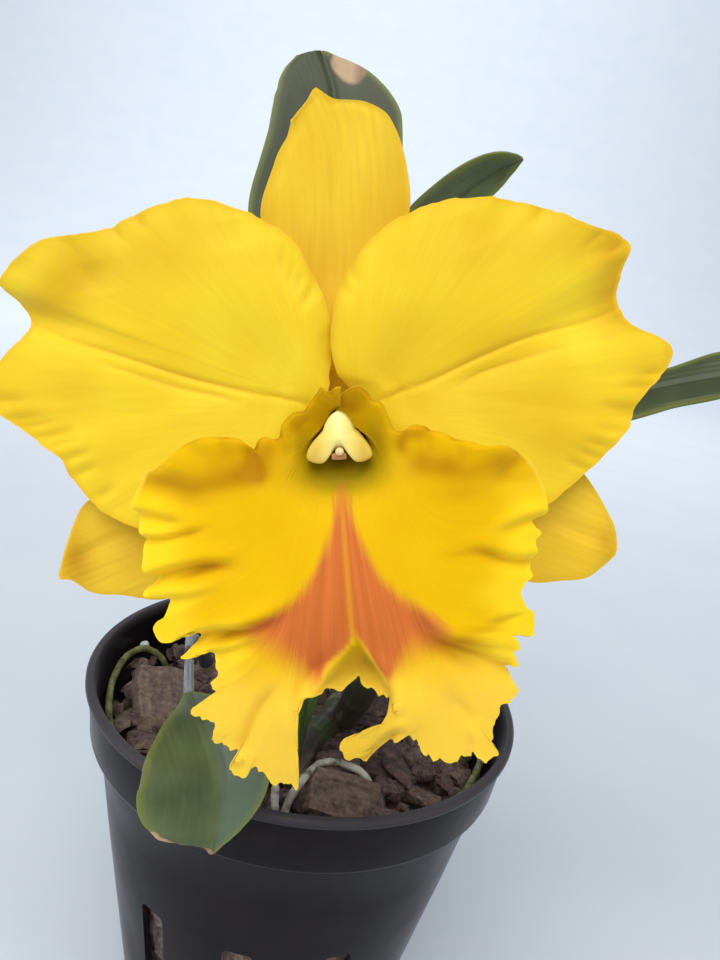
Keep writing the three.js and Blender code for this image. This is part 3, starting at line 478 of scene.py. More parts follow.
# %% Petal measurements
PETALS = {
    "petal_left": {
        "heart": (-17, 7, 1.4), "claw": (-4, 1), "seed": 11,
        # These patches are painted shade: darker gold where the petal lies in shade.
        "shade_patches": [(-57, 38, 14, 9, 0.22), (-31, 47, 14, 5, 0.2), (-72, 28.5, 9, 3.5, 0.4),
                 (-62, 38, 8, 7, 0.25), (-38, 38, 16, 8, 0.36), (-17, 36, 9, 10, 0.12),
                 (-78, 4, 4, 4, 0.15), (-63, 32, 8, 5, 0.3), (-65, 8, 9, 7, 0.28)],
        "edge": [
            (-5, 0.5, 0.8), (-3, 5.5, 2.2), (-1.6, 14.5, 3), (-1.6, 22, 3.6), (-5.5, 32.5, 4.2),
            (-9.5, 39.5, 3.8), (-16, 44.8, 3), (-24, 48.6, 2.2), (-32, 50.6, 2), (-41, 49.5, 1),
            (-51.5, 45.5, 0.6), (-60, 44, 0.6), (-67, 43.4, 0.2), (-74, 40, -0.6), (-80.5, 34.6, -1.6),
            (-77, 30, -3.4), (-74.6, 24, -3.8), (-81, 17.6, -3.6), (-85.8, 10.5, -4), (-84, 4, -4),
            (-77.5, -1.6, -3), (-69, -8, -1), (-64.6, -15.5, -2), (-59, -21.5, -1), (-50.5, -25.6, 0),
            (-36, -29.5, -1), (-20.5, -24.5, -2), (-10.5, -13.5, -2), (-6, -5, -0.6),
        ],
        "creases": [  # line, width, depth
            ([(-5.5, 1), (-10, 3), (-20.5, 5.5), (-30, 8), (-38, 10.5), (-46, 13.5), (-54, 16.5),
              (-62.5, 19.5), (-67, 21.5), (-74.5, 25)], 0.9, -0.6),
            ([(-24, 3.5), (-30, 5.5), (-38, 7.5), (-45, 10), (-57, 14.5)], 1, -0.35),
            ([(-20, 9), (-38, 14), (-56, 20), (-66, 24)], 6, 0.7),
            ([(-30, 1), (-48, 8), (-66, 14.5), (-76, 17)], 5, 0.9),
            ([(-82, 34), (-74, 28), (-68, 25), (-60, 23)], 3.6, -1.9),
            ([(-8, 4), (-30, 9), (-55, 17), (-76, 25)], 17, -1.6),
            ([(-62, 43), (-60, 37.5), (-57, 31)], 2.4, -0.9),
            ([(-56.5, 38), (-56, 30)], 5, -1.1),
            ([(-70, 39), (-66, 33)], 4, 0.7),
            ([(-23, 45), (-22, 38)], 6, -0.6),
        ],
        "crinkles": [
            (-11.5, 37.5, 5), (-9.6, 34.5, 5), (-7.8, 31.5, 4), (-6, 28, 4), (-80, 2, 8), (-77, 0, 7),
            (-73, -3, 8), (-71, -5, 6), (-67.5, -8.5, 7), (-64.5, -12, 5), (-60, -18, 5), (-83, 6.5, 6),
            (-51.5, 45, 4), (-46, 47.5, 4),
        ],
    },
    "petal_right": {
        "heart": (15, 6, 1.6), "claw": (4, 1), "seed": 12,
        # These patches are painted shade: darker gold where the petal lies in shade.
        "shade_patches": [(57, 38, 12, 8, 0.46), (67, 27, 7, 7, 0.42), (80, 9, 2, 6, 0.5), (71, 19, 3, 4, 0.25),
                 (45, 0, 13, 8, 0.22), (36, 14, 12, 6, 0.12), (31, 45, 12, 5, 0.1),
                 (33, 35, 14, 7, 0.24), (51, -11, 10, 7, 0.2), (33, 4, 12, 6, 0.14),
                 (65, 34, 5, 8, 0.35), (65, 21, 6, 6, 0.4), (74, 6, 6, 8, 0.3)],
        "edge": [
            (5, -4.5, -0.4), (12, -15.5, -2), (23.5, -24.5, -2), (36.5, -28, -0.6), (48.5, -23.6, 0),
            (57.5, -17, -1.4), (65.5, -9.5, -1), (69, -5.4, -2.4), (70.6, -0.6, -2), (78.4, 7.4, -4),
            (79.5, 11.5, -4.4), (77, 14, -4.4), (69, 18.6, -3.6), (66, 24.4, -3), (67.6, 31, -1.4),
            (68.5, 35.5, -0.6), (57, 41.5, 1), (45.5, 45.5, 0.6), (35, 47.6, 2), (27.5, 47.4, 2),
            (18, 45, 3), (9, 39, 4.4), (3.5, 32.5, 5.4), (-0.6, 24, 6), (-1.6, 17, 5.8), (-0.6, 9.5, 5),
            (2.4, 5.4, 2.4), (5.2, 0.4, 0.8),
        ],
        "creases": [
            ([(6.5, 1.5), (13, 4), (21, 6.5), (29, 10), (36.5, 13), (43.5, 15.5), (52, 17.5),
              (60.5, 19.5), (66.5, 22)], 0.9, -0.6),
            ([(27, 5), (33, 8), (40, 10), (52, 13)], 1, -0.35),
            ([(24, 12), (40, 18), (54, 21)], 5, 0.6),
            ([(30, 2), (46, 7), (62, 11), (72, 11)], 5, 0.8),
            ([(68, 22), (60, 21), (50, 18)], 4.5, -1.2),
            ([(8, 4), (28, 9), (50, 16), (68, 22)], 16, -1.5),
            ([(64.5, 38), (61.5, 35), (57, 34)], 2.2, -0.8),
            ([(67, 33), (63, 30)], 1.6, -0.5),
            ([(30, 44), (33, 36)], 6, -0.5),
        ],
        "crinkles": [
            (68.5, -2, 7), (69.5, -4, 6), (66, -7.5, 6), (63, -11, 6), (60.5, -13.5, 6), (57.5, -16, 5),
            (73, 3, 6), (76, 6, 5), (1.5, 29.5, 4), (3.8, 32.5, 4), (66.5, 36, 4), (62, 39, 5),
            (48, 44, 3),
        ],
    },
}
print([len(form["edge"]) for form in PETALS.values()], "points along the edges of the petals")

# %% Petals
VEIN_FAN = 42  # mm from the claw at which the veins of a petal are as far apart as their pattern says


def petal(name, form):
    """A petal, whose grid runs from its heart point out to its edge and once round along it."""
    columns, rows = 400, 62
    u, v = shares(columns, rows)
    rim, length = even_line(form["edge"], np.arange(columns + 1) / columns, closed=True)
    run = np.linspace(0, length, columns + 1)
    calm = calmed(rim[:, 2], int(25 / length * columns), loop=True)  # the depth without its ruffles
    heart = np.array(form["heart"], float)
    out = unit((rim - heart)[:, :2])
    nibble = 0.16 * wobble(run, 1.4, form["seed"], True) + 0.3 * wobble(run, 5, form["seed"] + 1, True)
    rim[:, :2] += out * nibble[:, None]
    ruffle = 0.45 * wobble(run, 4.5, form["seed"] + 2, True)
    column = np.round(u * columns).astype(int)
    s = v**0.85
    goal = np.column_stack([rim[column, :2], calm[column]])
    places = heart + (goal - heart) * s[:, None]
    places[:, 2] += 1.6 * np.sin(math.pi * s) * ease(s, 0, 0.5)  # a low dome from claw to edge
    places[:, 2] += (rim[column, 2] - calm[column]) * s**3 + ruffle[column] * s**9
    flat = places[:, :2].copy()
    crease_shade = 0
    for line, width, depth in form["creases"]:
        places[:, 2] += crease(flat, line, width, depth)
        if width <= 1:  # painted shade along the fine creases
            crease_shade += crease(flat, line, 0.55, 0.45)
    for x, y, reach in form["crinkles"]:  # short valleys that run in from the edge
        way = heart[:2] - (x, y)
        way *= reach / np.linalg.norm(way)
        places[:, 2] += crease(flat, [(x, y) - way * 0.3, (x, y) + way], 1.3, -0.7)
        # painted shade along each crinkle as well
        crease_shade += crease(flat, [(x, y), (x, y) + way], 0.6, 0.22)
    from_claw = flat - form["claw"]
    reach = np.linalg.norm(from_claw, axis=1)
    fan = np.arctan2(from_claw[:, 1], np.abs(from_claw[:, 0]) * np.sign(from_claw[:, 0] * heart[0]))
    edge = (1 - s) * np.linalg.norm(goal - heart, axis=1)
    outer_rim = 0.1 * ease(reach, 60, 80) * ease(edge, 10, 0) + 0.15 * ease(edge, 2.5, 0)
    # tint: painted shade along creases and crinkles and in the patches, and a deeper colour near the outer
    # rim.
    marks = {"across": fan * VEIN_FAN, "along": reach, "edge": edge, "thin": 1 - 0.6 * ease(edge, 6, 0),
             "tint": crease_shade + patches(flat, form["shade_patches"]) + outer_rim}
    piece = grid_piece(name + "_sheet", columns, rows, in_bloom(places), marks)
    thicken(piece, 0.7)
    finished(piece, petal_tissue, name)


for petal_name, petal_form in PETALS.items():
    petal(petal_name, petal_form)

# %% [markdown]
# ## Sepals and leaves: the blade
# A sepal and a leaf are both blades: a middle line, a half width to each side, a fold or a hollow
# across, and a keel. So one helper places them all. Columns crowd towards the round tip.

# %% Blade helper
def along_line(points, share, hint=None):
    """At shares of a line: its places, the way ahead, a side square to it, and the line's length.
    The side lies nearest to the hint, or square to the plane in which the line bends."""
    levels, back = np.unique(share, return_inverse=True)
    line, length = even_line(points, levels)
    before, after = (even_line(points, np.clip(levels + d, 0, 1))[0] for d in (-1e-4, 1e-4))
    ahead = unit((after - before)[back])
    hint = np.linalg.svd(line - line.mean(0))[2][-1] if hint is None else np.array(hint, float)
    return line[back], ahead, unit(hint - ahead * (ahead @ hint)[:, None]), length


def blade_places(form, u, v):
    """Places of a blade, its upward direction, and marks across, along and to its edge in mm."""
    u, v = 1 - (1 - u) ** 1.35, v * 2 - 1
    centre, ahead, side, length = along_line(form["middle"], u, form["across"])
    raised = np.cross(side, ahead)
    width = np.where(v < 0, through(form["left"], u), through(form["right"], u))
    lift = (form.get("fold", 0) * np.abs(v) + form.get("cup", 0) * v * v) * width
    places = centre + side * (v * width)[:, None] + raised * lift[:, None]
    return places, raised, v * width, u * length, (1 - np.abs(v)) * width


# %% Sepal measurements
# Each sepal's patches are painted shade: darker gold where it lies in shade.
SEPALS = {
    "dorsal_sepal": {
        "middle": [(-0.8, 4.2, -5), (-1, 18, -5), (-0.5, 32, -5.2), (0.5, 46, -4.4), (0.8, 59, -3),
                   (0.4, 66, -2), (-1, 71, -1.2), (-3, 74.2, -0.8)],
        "across": (1, 0, 0), "cup": 0.12, "seed": 21, "shade_patches": [(15, 55, 5, 14, 0.3), (2, 53, 8, 8, 0.08)],
        "left": [(0, 3), (0.2, 7), (0.4, 13.5), (0.59, 17.6), (0.77, 14), (0.86, 10.8), (0.92, 9),
                 (0.969, 7.2), (0.985, 3), (1, 0.5)],
        "right": [(0, 3), (0.2, 7), (0.4, 13), (0.6, 17.3), (0.77, 16.3), (0.866, 13.6), (0.91, 9),
                  (0.943, 2.8), (1, 0.5)],
        "creases": [([(1, 71), (1, 62), (0.5, 49.5), (0, 30)], 1.4, -0.5), ([(-7, 62), (-6, 40)], 3, 0.3),
                    ([(8, 62), (6, 40)], 3, 0.3)],
    },
    "lateral_sepal_left": {
        "middle": [(-5.4, -3.5, -5.4), (-26, -15, -8), (-47, -27.5, -8), (-63, -34.5, -7), (-73, -38, -6)],
        "across": (0.45, -0.89, 0), "cup": 0.14, "seed": 22,
        "shade_patches": [(-58, -34, 9, 5, 0.15), (-69, -36, 5, 6, 0.65), (-69, -29, 4, 7, 0.4)],
        "left": [(0, 2.6), (0.2, 8), (0.5, 13.5), (0.75, 15), (0.83, 14.6), (0.9, 10.4), (0.95, 6),
                 (0.985, 2.4), (1, 0.6)],
        "right": [(0, 2.6), (0.2, 9), (0.5, 15.5), (0.73, 16), (0.85, 10), (0.927, 6.3), (0.965, 2),
                  (1, 0.6)],
        "creases": [([(-73, -36.5), (-62.5, -30.5), (-49.5, -24.5), (-30, -14)], 2, -0.9),
                    ([(-66, -25), (-52, -19)], 4, 0.6)],
    },
    "lateral_sepal_right": {
        "middle": [(5, -3.5, -5.4), (22, -14, -8), (41, -26, -8), (56, -33.5, -7), (66, -37.5, -6)],
        "across": (0.45, 0.89, 0), "cup": 0.14, "seed": 23,
        "shade_patches": [(52, -31, 9, 9, 0.05), (64, -36, 3, 5, 0.5), (66.5, -26, 2.5, 7, 0.45)],
        "left": [(0, 2.6), (0.2, 9), (0.5, 15), (0.77, 14.7), (0.872, 11), (0.937, 8.3), (0.972, 4.6),
                 (1, 0.6)],
        "right": [(0, 2.6), (0.2, 8), (0.5, 13.5), (0.75, 16.2), (0.86, 12.4), (0.952, 6.9), (0.98, 4),
                  (1, 0.6)],
        "creases": [([(65.5, -36), (56, -31.5), (49, -27.5), (28, -15)], 2, -0.9),
                    ([(60, -24), (48, -19)], 4, 0.6)],
    },
}
print(len(SEPALS), "sepals measured")


# %% Sepals
def sepal(name, form):
    """A sepal: a blade with creases, fine ribs and a wavy edge."""
    columns, rows = 130, 44
    u, v = shares(columns, rows)
    places, raised, across, along, edge = blade_places(form, u, v)
    flat = places[:, :2].copy()
    for line, width, depth in form["creases"]:
        places[:, 2] += crease(flat, line, width, depth)
    wave = 0.5 * wobble(along, 9, form["seed"]) * ease(edge, 5, 0)
    ribs = 0.05 * np.cos(across * 2 * math.pi / 1.7) * ease(edge, 0, 2)
    places += raised * (wave + ribs)[:, None]
    # tint: deeper towards the base, and painted shade along the edge and in the patches.
    marks = {"across": across, "along": along, "edge": edge, "thin": 1 - 0.5 * ease(edge, 4, 0),
             "tint": 0.3 * ease(along, 12, 0) + 0.15 * ease(edge, 2.5, 0) + patches(flat, form["shade_patches"])}
    piece = grid_piece(name + "_sheet", columns, rows, in_bloom(places), marks)
    thicken(piece, 0.8)
    finished(piece, sepal_tissue, name)


for sepal_name, sepal_form in SEPALS.items():
    sepal(sepal_name, sepal_form)

# %% [markdown]
# ## The lip
# The lip is the showpiece: a sheet rolled into a tube round the column that opens into a broad,
# ruffled apron with two lobes. Rules run from every place of its edge back to the tube, bent like
# the veins of the real one. Its calm depth is a thin-plate spline, the surface a thin sheet takes
# when it is held at some places. Folds are laid over it, each a line where one part overhangs.

# %% Lip measurements
LIP_EDGE = [  # the margin seen from the front, from the top down the left side and round
    (1, 5), (-0.4, 4.9), (-1.2, 4.1), (-2, 3.9), (-2.7, 4.6), (-3.1, 5.3), (-3.9, 4.4), (-5.1, 3.1),
    (-6.2, 1.7), (-7.1, 0.5), (-8.1, 0.5), (-9.3, 0.2), (-10.6, -0.8), (-11.8, -2.2), (-12.3, -3.8),
    (-12.7, -4.9), (-13.5, -5.4), (-14.6, -5), (-15.4, -4.4), (-16.7, -4.9), (-17.6, -6.5), (-18.4, -7.7),
    (-19.1, -6.8), (-19.9, -5.6), (-21, -4.7), (-22.9, -4.3), (-25.6, -4.1), (-28.2, -4.1), (-30.8, -4.7),
    (-33.2, -5.7), (-35.2, -7.1), (-37.5, -8.8), (-40.2, -10.5), (-42.7, -11.5), (-43.9, -13), (-44.9, -15),
    (-45.8, -16.9), (-46.1, -18.2), (-45.7, -19.1), (-44.8, -20.2), (-44.6, -21.7), (-44.5, -23.4),
    (-44.1, -24.5), (-43.2, -25.3), (-43.6, -26.8), (-43.5, -29.2), (-43.5, -31.3), (-42.6, -32.5),
    (-40.9, -33.2), (-40.5, -33.7), (-41.7, -35.3), (-43.5, -36.6), (-43.7, -37.5), (-41.9, -37.9),
    (-39.3, -37.9), (-37.7, -38.1), (-38, -39.6), (-38.7, -41.2), (-39.5, -42.5), (-40.7, -42.9),
    (-41.8, -44.3), (-41.6, -45.5), (-41, -46.6), (-40.1, -47.4), (-38.7, -47.4), (-37.2, -46.9),
    (-35.3, -45.7), (-33.1, -45.1), (-31, -44.5), (-30.9, -45.5), (-31.6, -46.8), (-33, -48),
    (-34.4, -49.2), (-35.5, -50.2), (-34, -50.4), (-32.1, -49.8), (-30.4, -49), (-29, -48.2),
    (-28.1, -48.8), (-27.6, -50.2), (-27.1, -51.6), (-27, -53), (-27.5, -53.9), (-28.6, -54.6),
    (-28, -55.5), (-27.1, -56.5), (-27.9, -57.4), (-29.6, -58.2), (-31.5, -59.3), (-32.9, -60.2),
    (-33, -61), (-32, -61.6), (-30.8, -62.1), (-29.4, -62.2), (-28.4, -62.8), (-27.9, -63.9),
    (-28.3, -65.4), (-28.9, -66.7), (-28.1, -67.3), (-26.7, -66.8), (-25.4, -67), (-24.6, -68),
    (-23.7, -69), (-24.6, -70.5), (-25.3, -71.9), (-25.5, -73.2), (-24.4, -73.7), (-23.1, -73.9),
    (-22.1, -74.2), (-21.5, -73), (-20.9, -71.2), (-20, -71.8), (-19, -72.7), (-18.2, -73.5),
    (-17.4, -74.4), (-16, -75.4), (-14.1, -74.9), (-12.9, -75.5), (-11.4, -76.1), (-11, -73.5),
    (-10.8, -69.8), (-10.7, -66), (-10.4, -62), (-10.1, -59.2), (-9.5, -57.7), (-9, -57.1), (-7.7, -57.3),
    (-6.9, -57.3), (-6.2, -56.9), (-5.1, -56.1), (-4.3, -55.8), (-3.5, -56.1), (-2.6, -56.4), (-1.6, -56.5),
    (-1.1, -56), (-0.4, -55.5), (0.4, -55.4), (1.3, -54.9), (2.1, -54.2), (2.5, -55.1), (3.4, -56.1),
    (4.6, -57), (5.3, -57.5), (6, -57.8), (6.9, -57.9), (7.6, -57.8), (8.3, -57.4), (8.3, -58.5),
    (8, -59.8), (7.3, -61.5), (5.6, -63.1), (4.3, -64.1), (2.3, -64.4), (0.3, -64.4), (-1.2, -64.3),
    (-1.8, -64.9), (-1.6, -65.9), (-0.9, -67.2), (0.1, -68.1), (1.6, -68.1), (3.3, -68.9), (4.3, -68.3),
    (5, -67), (6.2, -66.2), (8.3, -66.1), (10.3, -66.2), (12.2, -65.6), (13.3, -66.4), (13.7, -67.7),
    (14, -68.9), (15.4, -69.2), (16.8, -70.5), (18.6, -71), (20.8, -71.2), (22.7, -70.6), (24.4, -70.2),
    (25.6, -71.1), (27.5, -72.4), (29.4, -72.1), (30, -70.8), (29.1, -69.4), (28.3, -68.4), (29, -67.1),
    (29.4, -65.7), (29.9, -64), (30.6, -62.7), (31.5, -61.4), (33.8, -60.8), (34.9, -59.1), (34.3, -57.9),
    (33.1, -55.3), (32.2, -54), (35.2, -53.8), (34.4, -51.1), (35.4, -50.4), (34.8, -47.8), (36.5, -48.1),
    (38.5, -48.5), (39.5, -46.6), (39.3, -43.8), (38, -42.9), (37.3, -41.5), (36.7, -40), (37.1, -38.9),
    (38.1, -37.6), (39.6, -36.7), (39.6, -34.5), (40.7, -32.6), (41, -30.9), (40.9, -29.4), (42.3, -27.9),
    (41.2, -26.5), (40.6, -25.4), (41.8, -24.6), (43.7, -23.9), (44.2, -21.8), (44, -19.3), (42.9, -16.6),
    (41.8, -14.1), (40.4, -12.3), (38, -10.4), (35.9, -9.1), (34.1, -8.6), (31.7, -8.6), (29.4, -8.2),
    (27.1, -7.3), (24.6, -6.9), (22.8, -5.9), (21.1, -5), (20.1, -4.8), (19.1, -4.6), (18.3, -3.9),
    (16.9, -3.5), (15.6, -3.2), (14.8, -3.7), (14.5, -4.5), (13.5, -5), (12.5, -4.9), (11.7, -4.5),
    (11.1, -3.2), (10.4, -1.3), (9.4, 1.2), (8.7, 1.8), (7.4, 2.1), (6.5, 3.6), (5.5, 4.7), (4.3, 5.2),
    (2.9, 4.8), (1.8, 4.2), (0.6, 3.5), (-0.3, 2.5),
]
LIP_DEPTHS = [  # place seen from the front, and how far the calm sheet stands forward there
    (0, 3.5, 22.5), (-4, 2.4, 22.5), (4, 2.4, 22.5), (1, 5, 26), (-3, 4.8, 25.5), (5.5, 4.6, 25.5),
    (-7, 0.8, 24.5), (8.5, 1.6, 24.5), (-8, -2.5, 22), (8, -2.5, 22), (-9.5, -8, 22.8), (9.5, -8, 22.8),
    (-8, -14, 25), (8, -14, 25), (0, -16, 25.8), (-12.5, -3.5, 23.8), (12, -4.6, 23.8), (-16, -9, 24.2),
    (16, -9, 24.2), (-20, -5.5, 24.2), (20, -4.8, 24.2), (-26, -4.4, 24), (29, -8.2, 23.6), (-26, -9, 23.2),
    (26, -11, 23.4), (-33, -5.5, 21.8), (36.5, -9.2, 21), (-36, -12, 20.2), (36, -14, 20), (-44, -14, 17.5),
    (43, -17, 17), (-44, -24, 18.4), (42, -25, 18.4), (-42, -33, 20.8), (39.5, -32, 20.4), (-38, -40, 22.6),
    (37.5, -41, 23.6), (-35, -47, 24.8), (36, -48, 25.4), (-28, -54, 28.6), (33, -54, 27.8),
    (-29, -61, 29.4), (32, -60, 28.9), (-24, -71, 30.6), (27, -70, 31.6), (-13, -75.5, 32.4),
    (18, -70.5, 33.6), (-11, -67, 34.4), (12, -66, 34), (-10, -58.5, 35), (9, -59, 35), (-20, -18, 25.4),
    (20, -18, 25.4), (-31, -22, 22.8), (31, -22, 22.6), (-10, -25, 28.8), (10, -25, 28.6), (-18, -31, 29),
    (18, -31, 29.4), (-29, -35, 26), (29, -36, 26.6), (-10, -40, 32.2), (12, -41, 32.6), (-21, -46, 31.1),
    (23, -47, 31.2), (-18, -59, 32.8), (20, -60, 33.4), (0.3, -22, 28.2), (0.7, -32, 31.4),
    (1.2, -42, 32.6), (2, -49, 31.4), (-6, -56, 31), (-2, -55, 30), (2, -52.5, 29.8), (6, -56.6, 31),
    (-1, -66, 37.5), (3, -68, 36), (5, -64, 34.8),
]
LIP_FOLDS = [  # line from the margin inwards, width, depth of its valley, overhang of its upper side
    ([(-45, -19.5), (-42, -20), (-37.5, -21), (-33, -22), (-29, -21.5)], 1.3, 0.3, 0.8),
    ([(-42, -11), (-38, -12.5), (-33, -14), (-27, -14.5), (-21, -14.5)], 3, 0.6, 0.6),
    ([(-44, -25), (-39.5, -25), (-34.5, -24), (-30.5, -23), (-26.5, -21)], 1, 0.2, 0.9),
    ([(-42.5, -33.5), (-38.5, -32), (-34, -31), (-29, -30), (-23.5, -29.5), (-18.5, -28.5)], 1.5, 0.4, 1.5),
    ([(-42.5, -38), (-37, -37.5), (-33, -37), (-28, -35.5), (-23, -34.5)], 1.2, 0.1, 0.6),
    ([(-31.5, -45), (-27, -43.5), (-22.5, -43), (-19.5, -42.5), (-15.5, -41), (-12, -39.5),
      (-8.5, -37.5)], 1.6, 0.5, 1.6),
    ([(-29, -48.5), (-25, -47.5), (-20.5, -46), (-17, -45), (-13.5, -44)], 1.2, 0.2, 0.8),
    ([(-22, -67.5), (-20.5, -64.5), (-19, -61.5), (-16.5, -57.5), (-14, -55), (-12.5, -52.5)], 1.8, 1.5, 0),
    ([(-25, -71), (-23, -71), (-20.5, -70.5)], 0.8, 0.1, 0.6),
    ([(38, -10.5), (35, -13), (32, -15.5), (28, -17)], 2.2, 0.7, 0.3),
    ([(44, -24), (40, -24), (36.5, -25), (33, -26), (29.5, -27.5)], 1.2, 0.2, 0.9),
    ([(41, -32.5), (37, -32.5), (33.5, -31.5), (30.5, -30), (26.5, -29), (22, -29.5)], 1.3, 0.3, 1.2),
    ([(33.6, -43.8), (31.6, -44.2), (29.5, -43.6)], 1.1, 0.3, 0.4),
    ([(33, -53.5), (28.5, -51), (24.5, -48.5), (20, -46.5), (16, -43.5), (12.5, -40),
      (9, -36.5)], 2, 0.5, 1.4),
    ([(35, -50.5), (31.5, -49), (27, -48), (23.5, -47)], 1.1, 0.1, 0.5),
    ([(24, -62.8), (22.5, -61), (20.5, -58.5), (18, -55.5)], 1.9, 0.9, 0),
    ([(24.5, -71), (24.5, -68), (23.5, -65)], 1, 0.6, 0),
    ([(4.5, -66.5), (7, -64.5), (9.5, -63.5), (12.5, -65.5)], 1.1, 0.2, 0.8),
    ([(-9, -57), (-7, -54), (-5, -52), (-2.5, -49.5), (0, -46.5)], 1.3, 0.2, -0.9),
    ([(8.5, -57.5), (7, -53.5), (5, -50.5), (3, -47.5)], 1.3, 0.2, 0.9),
    ([(-18.5, -7.5), (-17.5, -10.5), (-16.5, -13.5), (-16.5, -17)], 2, 1.1, 0),
    ([(-12.5, -5), (-11, -7.5), (-10, -11)], 1.5, 0.7, 0),
    ([(-7, 0), (-7, -3)], 1.2, 0.5, 0),
    ([(13.5, -5), (13, -8.5), (13, -12.5)], 1.6, 0.8, 0),
    ([(18.5, -4), (19, -8), (20, -12)], 1.5, 0.5, 0),
    ([(24.5, -7), (25.5, -10.5), (26.5, -14)], 1.6, 0.5, 0),
    ([(-24, -4.5), (-23.5, -7.5), (-22.5, -11)], 2, 0.5, 0),
    ([(-31.5, -5), (-30, -7.5), (-27, -11)], 2, 0.5, 0),
]
LIP_THROAT = [  # middle, depth at the top and at the bottom, radius at each bearing in degrees
    (-2, 0.6, 0.6, [(-90, 3.6), (90, 3.6)]),
    (-3.4, 11.5, 13, [(-90, 5.6), (-30, 5.4), (90, 4.9)]),
    (-5, 19, 22.5, [(-90, 8.3), (-60, 8.7), (-30, 8.7), (-10, 6.8), (10, 5), (30, 4.4), (55, 4.6),
                    (75, 5.7), (90, 6.4)]),
]
LIP_RULES = [  # place on the edge, and the place half way in that its rule passes
    (1, 5, 0.8, 4.2), (-4, 4.4, -2.8, 2.6), (-8.2, 0.5, -6.8, -1), (-12.5, -3.9, -9.8, -5),
    (-13.7, -5.5, -10.6, -6.2), (-15.8, -4.5, -11.6, -7.2), (-18.9, -7.8, -13, -9),
    (-20.5, -5.7, -13.6, -9.6), (-32, -4.9, -17, -11), (-44.2, -13.1, -21, -16),
    (-44.4, -23.4, -21, -20.5), (-42.8, -32.7, -20, -25.5), (-38.1, -38.5, -18.5, -29),
    (-40.2, -47.5, -16.5, -33), (-31.1, -44.6, -15, -35.5), (-35.3, -50, -14.5, -38),
    (-27, -52, -13.5, -41), (-32.9, -60.5, -13.2, -45), (-28, -66.9, -13, -48.5),
    (-23.8, -69.1, -12.6, -50.5), (-20.8, -70.9, -12, -52.5), (-11.4, -76.2, -11, -54),
    (-10.8, -65, -10.2, -52), (-9, -56.9, -8.3, -49), (-1, -55.2, -2, -46.5), (2.2, -53.2, 2, -44.5),
    (7.6, -57.5, 7.2, -48), (8, -60.1, 10, -51.5), (4.3, -64.7, 11.6, -53.5), (-1.9, -67, 12.4, -55.2),
    (5, -68.1, 13.2, -56.2), (12.3, -66.2, 14.3, -56.4), (20.8, -71, 16.5, -55.5),
    (27.4, -72.1, 18.6, -54), (29.4, -65.8, 18.8, -51), (34.5, -58, 18.4, -48),
    (32.2, -54.1, 17.8, -45), (34.8, -47.8, 17.2, -41), (39.3, -45, 17.2, -38),
    (38.1, -37.6, 17.8, -33.5), (41, -30.5, 19, -27.5), (44, -23, 20.5, -21.5), (42, -14.2, 20, -16),
    (34.8, -8.8, 17, -11.5), (25, -7, 13.8, -9), (18.4, -4, 12, -7.4), (15.7, -3.2, 11.2, -6.6),
    (13.6, -5, 10.6, -5.8), (12.5, -5, 10, -5), (8.9, 1.6, 6.9, -0.4), (4.5, 5, 3.8, 2.8),
    (-0.2, 2.4, -0.3, 1.6),
]
LIP_FLAP = [  # place on the edge of the right lobe's small flap, and where the edge would be without it
    (8.3, -58.7, 8.3, -58.7), (7.3, -61.9, 8.6, -60.9), (5.6, -63.6, 9.1, -62.2), (2.2, -65.4, 9.7, -63.4),
    (-1.9, -67, 10.4, -64.4), (-1.2, -69.2, 10.9, -65), (4.3, -69.5, 11.5, -65.6), (10.4, -66.9, 12, -66.2),
    (12.3, -66.2, 12.3, -66.2),
]
LIP_HEART, LIP_START, LIP_TURN = (0, -8), 84, 372  # the tube's middle, its first bearing, its whole turn
LIP_KNOTS = (0, 0.2, 0.4, 0.7, 1)  # shares out of the three throat rings, the half-way line and the edge
LIP_MIDLINE = [(0, -16), (0.6, -26), (1.2, -35.5), (1.5, -45), (1.7, -53)]
print(len(LIP_EDGE), "points along the lip's edge and", len(LIP_FOLDS), "folds")


# %% Lip depth and folds
def calm_depth(held, at):
    """Depth at places of the thin-plate spline held at (x, y, depth) points."""
    held = np.array(held, float)

    def bending(a, b):
        gap = ((a[:, None, :2] - b[None, :, :2]) ** 2).sum(2)
        return gap * np.log(gap + 1e-9)

    flat = np.column_stack([np.ones(len(held)), held[:, :2]])
    table = np.block([[bending(held, held) + 0.5 * np.eye(len(held)), flat], [flat.T, np.zeros((3, 3))]])
    weight = np.linalg.solve(table, np.append(held[:, 2], [0, 0, 0]))
    return bending(at, held) @ weight[:-3] + np.column_stack([np.ones(len(at)), at[:, :2]]) @ weight[-3:]


def fold(at, line, width, valley, over):
    """Change of depth by a fold: its valley, and how far its upper side hangs over its lower side."""
    near, share, side = nearest(at, line, 6)
    d = np.sqrt(near) / width
    return (side * d * np.exp(0.5 - 0.5 * d * d) * over - np.exp(-d * d) * valley) * ease(share, 1, 0.45)


# %% Keep the lip's sheet from lying on itself
EASING_ROUNDS, SMALLEST_FACE = 200, 0.006  # rounds for drawing folded places apart, least mm2 of a face


